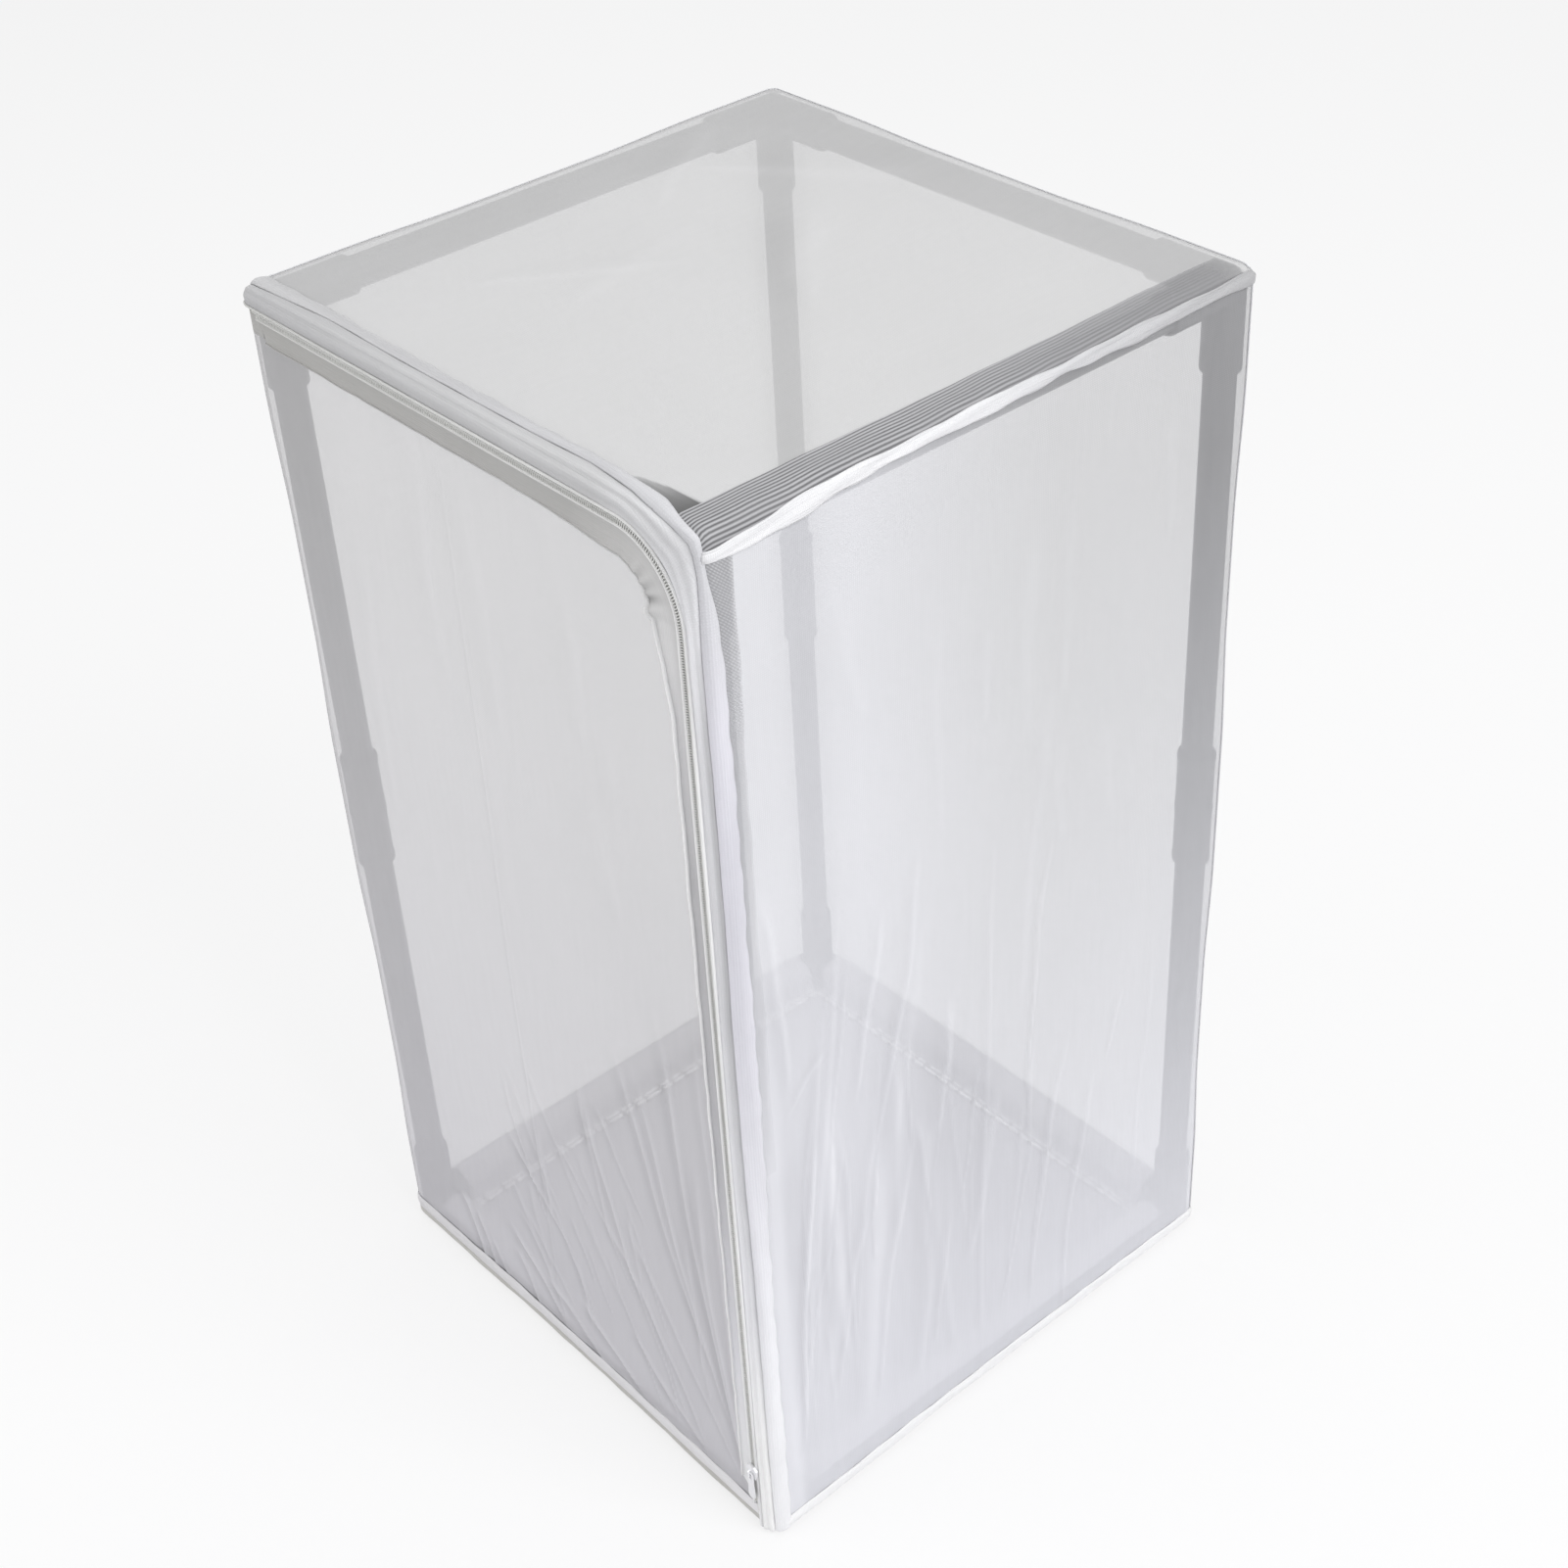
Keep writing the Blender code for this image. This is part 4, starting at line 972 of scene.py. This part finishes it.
def hem():
    """The fixed tape in two bands: pleated from the coil to a valley, then smooth to its border."""
    line, run = zip_path(TAPE_INSET, *TAPE_ENDS)
    target = outer_target(line)
    first = np.linalg.norm(target - line, axis=1)
    valley = first + along_border(target, *VALLEY)
    border = first + along_border(target, *BORDER)
    s = run / run[-1]
    drawn = np.where(line[:, 1] < BEND_Z, draw_up(line[:, 1]), draw_along(line[:, 0]))
    # Along the run: the pleats' height and painted shade, the valley's width and painted shade, the outer
    # band's painted shade.
    high, dark, wide, valley_shade, band_shade = (between(s, stops) for stops in (
        ((0, 0.00012), (0.28, 0.00022), (0.34, 0.0005), (0.4, 0.00022), (0.6, 0.00008), (0.9, 0.0003),
         (1, 0.0005)),
        ((0, 0.1), (0.28, 0.14), (0.34, 0.26), (0.4, 0.14), (0.6, 0.05), (0.85, 0.1), (1, 0.08)),
        ((0, 0.0007), (0.3, 0.0008), (0.37, 0.0014), (0.45, 0.0044), (0.6, 0.0052), (0.85, 0.003), (1, 0.0008)),
        ((0, 0.6), (0.3, 0.62), (0.37, 0.5), (0.45, 0.78), (0.6, 0.82), (0.85, 0.45), (1, 0.12)),
        ((0.75, 0.16), (0.95, 0.04)),
    ))
    lines, folds = [], []
    for share in np.arange(41) / 40:
        under = bell(share, 0.06)
        phase = share * 19 + 1.6 * np.sin(s * 9 + 0.4) + 0.5 * np.sin(s * 31)
        pleat = high * np.sin(phase) * math.sin(math.pi * share)
        hollow = bell((1 - share) * valley, wide)
        crown = 0.0013 * math.sin(math.pi * min(share * 1.05, 1.0)) ** 0.7
        lift = (0.0006 + crown * (1 - hollow)) * (1 - under) + pleat - share * drawn - 0.0002 * hollow
        lines.append(wrap(over_edge(line, target, share * valley), lift))
        # Painted shade in the pleats' troughs and in the valley.
        folds.append(np.clip(dark * (0.5 - 0.5 * np.sin(phase - 0.7)) * (1 - under) + valley_shade * hollow, 0, 1))
    inner = ribbon("hem_front", lines, "hem_tape", run, folds, TAPE_THICK)
    lines, folds = [], []
    for share in np.arange(15) / 14:
        ripple = (0.0003 * np.sin(s * 260) + 0.00025 * np.sin(s * 97 + 1)) * share
        across = valley - 0.0004 + (border + ripple - valley + 0.0004) * share
        crown = 0.0011 * math.sin(math.pi * min(share * 0.8 + 0.12, 1.0))
        lift = 0.0004 + crown + 0.00012 * np.sin(s * 150 + 3 * share) - drawn * math.exp(-share * 0.6)
        lines.append(wrap(over_edge(line, target, across), lift))
        # Painted shade in soft bands across the outer band.
        folds.append(band_shade * (0.5 - 0.5 * np.sin(5 * share + 2.2 * np.sin(s * 13))))
    outer = ribbon("hem_band", lines, "band_tape", run, folds, TAPE_THICK)
    fit(inner, "white_tape", "zip_tape_top", "zip_tape_corner", "zip_tape_side")
    fit(outer, "white_tape")
    seam = wrap(over_edge(line, target, valley), 0.0008 - drawn)[s < 0.345]
    return inner, outer, stitches("stitch_lid", seam)


def stitches(name, path):
    """A row of short raised stitches along a path."""
    length, gap, radius = 0.0026, 0.0009, 0.00016
    middle = np.array([0, 0, 0.3])
    run = run_of(path)
    shapes = []
    start = 0.0
    while start + length < run[-1]:
        bar = resample(path, run, np.linspace(start, start + length, 5))
        rise = np.sin(np.linspace(0, math.pi, 5)) * radius
        out = unit((bar - middle) * (1, 1, 0.3))
        shapes.append(round_bar(bar + out * rise[:, None], radius, 5))
        start += length + gap
    points, faces = join(shapes)
    return fit(make(name, points, faces, "stitch_thread", np.zeros((len(points), 2))), "white_tape")


flap_trim = flap_tape()
hem_start = tape_start()
hem_inner, hem_outer, stitch_lid = hem()
hem_rim = rim_bar("hem_front_fold", FOLD_INSET, TAPE_ENDS)

# Strips that follow the cover's edges: their ends along a level edge, and along an upright.
END = 0.164
WHOLE = (-END, END)
UPRIGHT = (LOW + 0.0012, HIGH - 0.0016)


def upright(side_x, side_y):
    """Places along an upright edge: its first face is the front or back, its second a side wall."""
    def at(z, dx, dy):
        return np.stack((side_x * (HALF - dx), side_y * (HALF - dy), z), 1)
    return at, draw_up


def level(side, edge_z):
    """Places along a level edge of a side: first over the lid or the floor, then over the wall."""
    sign = 1 if side in ("right", "back") else -1
    inwards = 1 if edge_z == LOW else -1

    def at(place, over, along_wall):
        wall = sign * (HALF - over)
        x, y = (wall, place) if side in ("right", "left") else (place, wall)
        return np.stack((x, y, edge_z + inwards * along_wall), 1)
    return at, draw_along


def strip(name, material, nodes, run, edge, reach, wobble=0.0, thick=0.0005, rows=9, lift=0.0006, seed=0.0,
          sag=0.0, lip=1.0):
    """A strip that follows an edge of the cover.

    run is its (start, end) along the edge, and edge gives points of the sharp box from the place along the
    edge and the distances from it over the two faces, and the edge's draw-in. reach is how far the strip's
    borders are over the first face (below zero) and the second, each one number or stops along the edge.
    The strip follows cloth that sags so far, and lip is the share of its lift that is left at its borders.
    """
    at, draw = edge
    t = np.linspace(*run, int(abs(run[1] - run[0]) / 0.003) + 2)
    near, far = (between(t, border) if isinstance(border, tuple) else border + 0 * t for border in reach)
    held = sag * ease((END - np.abs(t)) / 0.06)
    lines = []
    for row in range(rows):
        share = row / (rows - 1)
        outward = 2 * share - 1
        height = lift * between(abs(outward), ((0.5, 1.0), (1.0, lip)))
        across = near + (far - near) * share
        if abs(outward) > 0.7:
            across = across + wobble * (np.sin(t * 70 + seed) + 0.6 * np.sin(t * 190 + 2 * seed)) * outward
        flat = at(t, np.maximum(-across, 0), np.maximum(across, 0))
        wave = wobble * np.sin(t * 95 + 5 * share + seed) * math.sin(math.pi * share)
        wave = wave + wobble * 0.6 * np.sin(t * 231 + seed) * share
        into = draw(t) * np.exp(-np.abs(across) / 0.02) + held * ease(np.maximum(across, 0) / 0.06)
        lines.append(wrap(flat, height + wave - into))
    fit(ribbon(name, lines, material, t, thick=thick), "white_tape", *nodes)


# Near upright edge: doubled net beside the hem's outer band, over the upper half.
strip("net_near_double", "crossed_net", [], (0.26, UPRIGHT[1] - 0.008), upright(1, -1),
      (((0.26, 0.009), (0.54, 0.0074), (0.5665, 0.0066), (0.602, 0.002)), 0.0166), wobble=0.0003,
      lift=0.0004, thick=0.0, seed=1.6)

# Right edge of the lid: binding on the wall, doubled net over the rail on the lid.
LID_LINE = ((-END, 0.0078), (-0.14, 0.0062), (-0.121, 0.0042), (-0.09, 0.0028), (-0.02, 0.0014), (END, 0.0012))
LID_FOOT = ((-END, 0.0135), (-0.15, 0.0148), (-0.122, 0.0142), (-0.09, 0.0094), (0.0, 0.0086), (END, 0.0078))
strip("binding_lid_right", "binding_lid_tape", ["binding_top_right"], WHOLE, level("right", HIGH),
      (LID_LINE, LID_FOOT), wobble=0.0006, lift=0.0009, seed=2.0)
strip("net_lid_double", "striped_net", [], (-END, 0.156), level("right", HIGH),
      (-0.0182, tuple((place, amount + 0.0008) for place, amount in LID_LINE)), wobble=0.0002,
      lift=0.0005, thick=0.0, seed=0.4, rows=13)

# Foot of the right wall: a narrow white line. Foot of the door: a hem in painted shade, greyer than the right
# wall's, under a light seam.
strip("binding_floor_right", "foot_right", ["binding_bottom_right"], WHOLE, level("right", LOW),
      (-0.009, 0.005), wobble=0.0002, lift=0.0003)
strip("line_floor_right", "foot_line", [], WHOLE, level("right", LOW), (0.005, 0.0128), wobble=0.0002,
      thick=0.0003, lift=0.001, seed=0.7, rows=11, sag=0.0032, lip=0.3)
strip("binding_floor_front", "foot_front", ["binding_bottom_front"], WHOLE, level("front", LOW),
      (-0.009, 0.0112), wobble=0.0002, lift=0.0004, rows=13, sag=0.003)
strip("line_floor_front", "foot_seam", [], WHOLE, level("front", LOW), (0.0104, 0.0178), wobble=0.0002,
      thick=0.0003, lift=0.0011, seed=0.2, rows=11, sag=0.003, lip=0.3)

# The other edges: doubled net.
SEAM = (-0.0035, 0.0035)
for side in ("back", "left"):
    strip("binding_floor_" + side, "doubled_net", ["binding_bottom_" + side], WHOLE, level(side, LOW),
          (-0.009, 0.007), lift=0.0003)
    strip("seam_lid_" + side, "doubled_net", ["binding_top_" + side], WHOLE, level(side, HIGH), SEAM,
          lift=0.0005)
for side, sign in (("left", -1), ("right", 1)):
    strip("seam_back_" + side, "doubled_net", ["binding_back_" + side], UPRIGHT, upright(sign, 1), SEAM,
          lift=0.0005)
strip("seam_front_left", "doubled_net_thin", ["binding_front_left"], UPRIGHT, upright(-1, -1), SEAM,
      lift=0.0002, thick=0.0002)

# Slider and pull keep their solids, with softened edges.
for node in ("zip_slider", "zip_pull"):
    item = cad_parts[node]
    bevel = item.modifiers.new("soft", "BEVEL")
    bevel.width = 0.00018
    bevel.segments = 3
    bevel.limit_method = "ANGLE"
    item.data.materials.clear()
    item.data.materials.append(MATERIALS["zip_metal"])


# Stage, light, camera.
def stage():
    """Wide pale floor that reads near white to the camera and keeps the shadow, and white surroundings."""
    n = Nodes("pale_floor")
    n.finish(Base_Color=(0.82, 0.82, 0.83, 1), Roughness=0.9, Specular_IOR_Level=0.1)
    share = n.math("MULTIPLY", n.add("LightPath").outputs["Is Camera Ray"], 0.75)
    mixed = n.add("MixShader")
    glow = n.add("Emission", Strength=1.0)
    for socket, value in zip(mixed.inputs, (share, n.shader.outputs[0], glow.outputs[0])):
        n.put(socket, value)
    n.put(n.tree.nodes["Material Output"].inputs["Surface"], mixed.outputs[0])

    sides = 64
    angles = [2 * math.pi * index / sides for index in range(sides)]
    mesh = bpy.data.meshes.new("floor")
    mesh.from_pydata([(9 * math.cos(angle), 9 * math.sin(angle), -0.0006) for angle in angles], [],
                     [tuple(range(sides))])
    add_object("floor", mesh, n.owner)

    n = Nodes("studio", "worlds", "Background")
    bpy.context.scene.world = n.owner
    path = n.add("LightPath")
    either = n.math("MAXIMUM", path.outputs["Is Camera Ray"], path.outputs["Is Glossy Ray"])
    n.put(n.shader.inputs["Color"], (1, 1, 1, 1))
    n.put(n.shader.inputs["Strength"], n.add("MapRange", Value=either, To_Min=0.48, To_Max=1.0).outputs[0])


def lamp(name, place, aim, size, power):
    data = bpy.data.lights.new(name, "AREA")
    data.shape = "RECTANGLE"
    data.size, data.size_y = size
    data.energy = power
    item = add_object(name, data)
    item.location = place
    item.rotation_euler = (Vector(aim) - Vector(place)).to_track_quat("-Z", "Y").to_euler()


def camera():
    """The photograph's view, from its fitted position, direction and focal length."""
    az, el, roll = math.radians(50.492), math.radians(36.44), math.radians(-3.467)
    ahead = Vector((-math.sin(az) * math.cos(el), math.cos(az) * math.cos(el), -math.sin(el)))
    right = ahead.cross(Vector((0, 0, 1))).normalized()
    up = right.cross(ahead)
    across = right * math.cos(roll) + up * math.sin(roll)
    upward = up * math.cos(roll) - right * math.sin(roll)
    data = bpy.data.cameras.new("camera")
    data.sensor_width = 36
    data.lens = 36 * 2550.5 / 1601
    item = add_object("camera", data)
    turn = Matrix((across, upward, -ahead)).transposed().to_4x4()
    item.matrix_world = Matrix.Translation((0.8187, -0.6683, 1.1006)) @ turn
    bpy.context.scene.camera = item


stage()
lamp("key", (2.2, 0.3, 2.3), (0, 0, 0.3), (1.8, 1.8), 54)
lamp("fill", (-1.2, -2.4, 1.2), (0, 0, 0.3), (2.2, 2.0), 28)
lamp("top", (-0.4, 0.6, 3.0), (0, 0, 0.5), (2.2, 2.2), 19)
camera()
bpy.context.scene.view_settings.view_transform = "Standard"
bpy.context.scene.cycles.transparent_max_bounces = 32
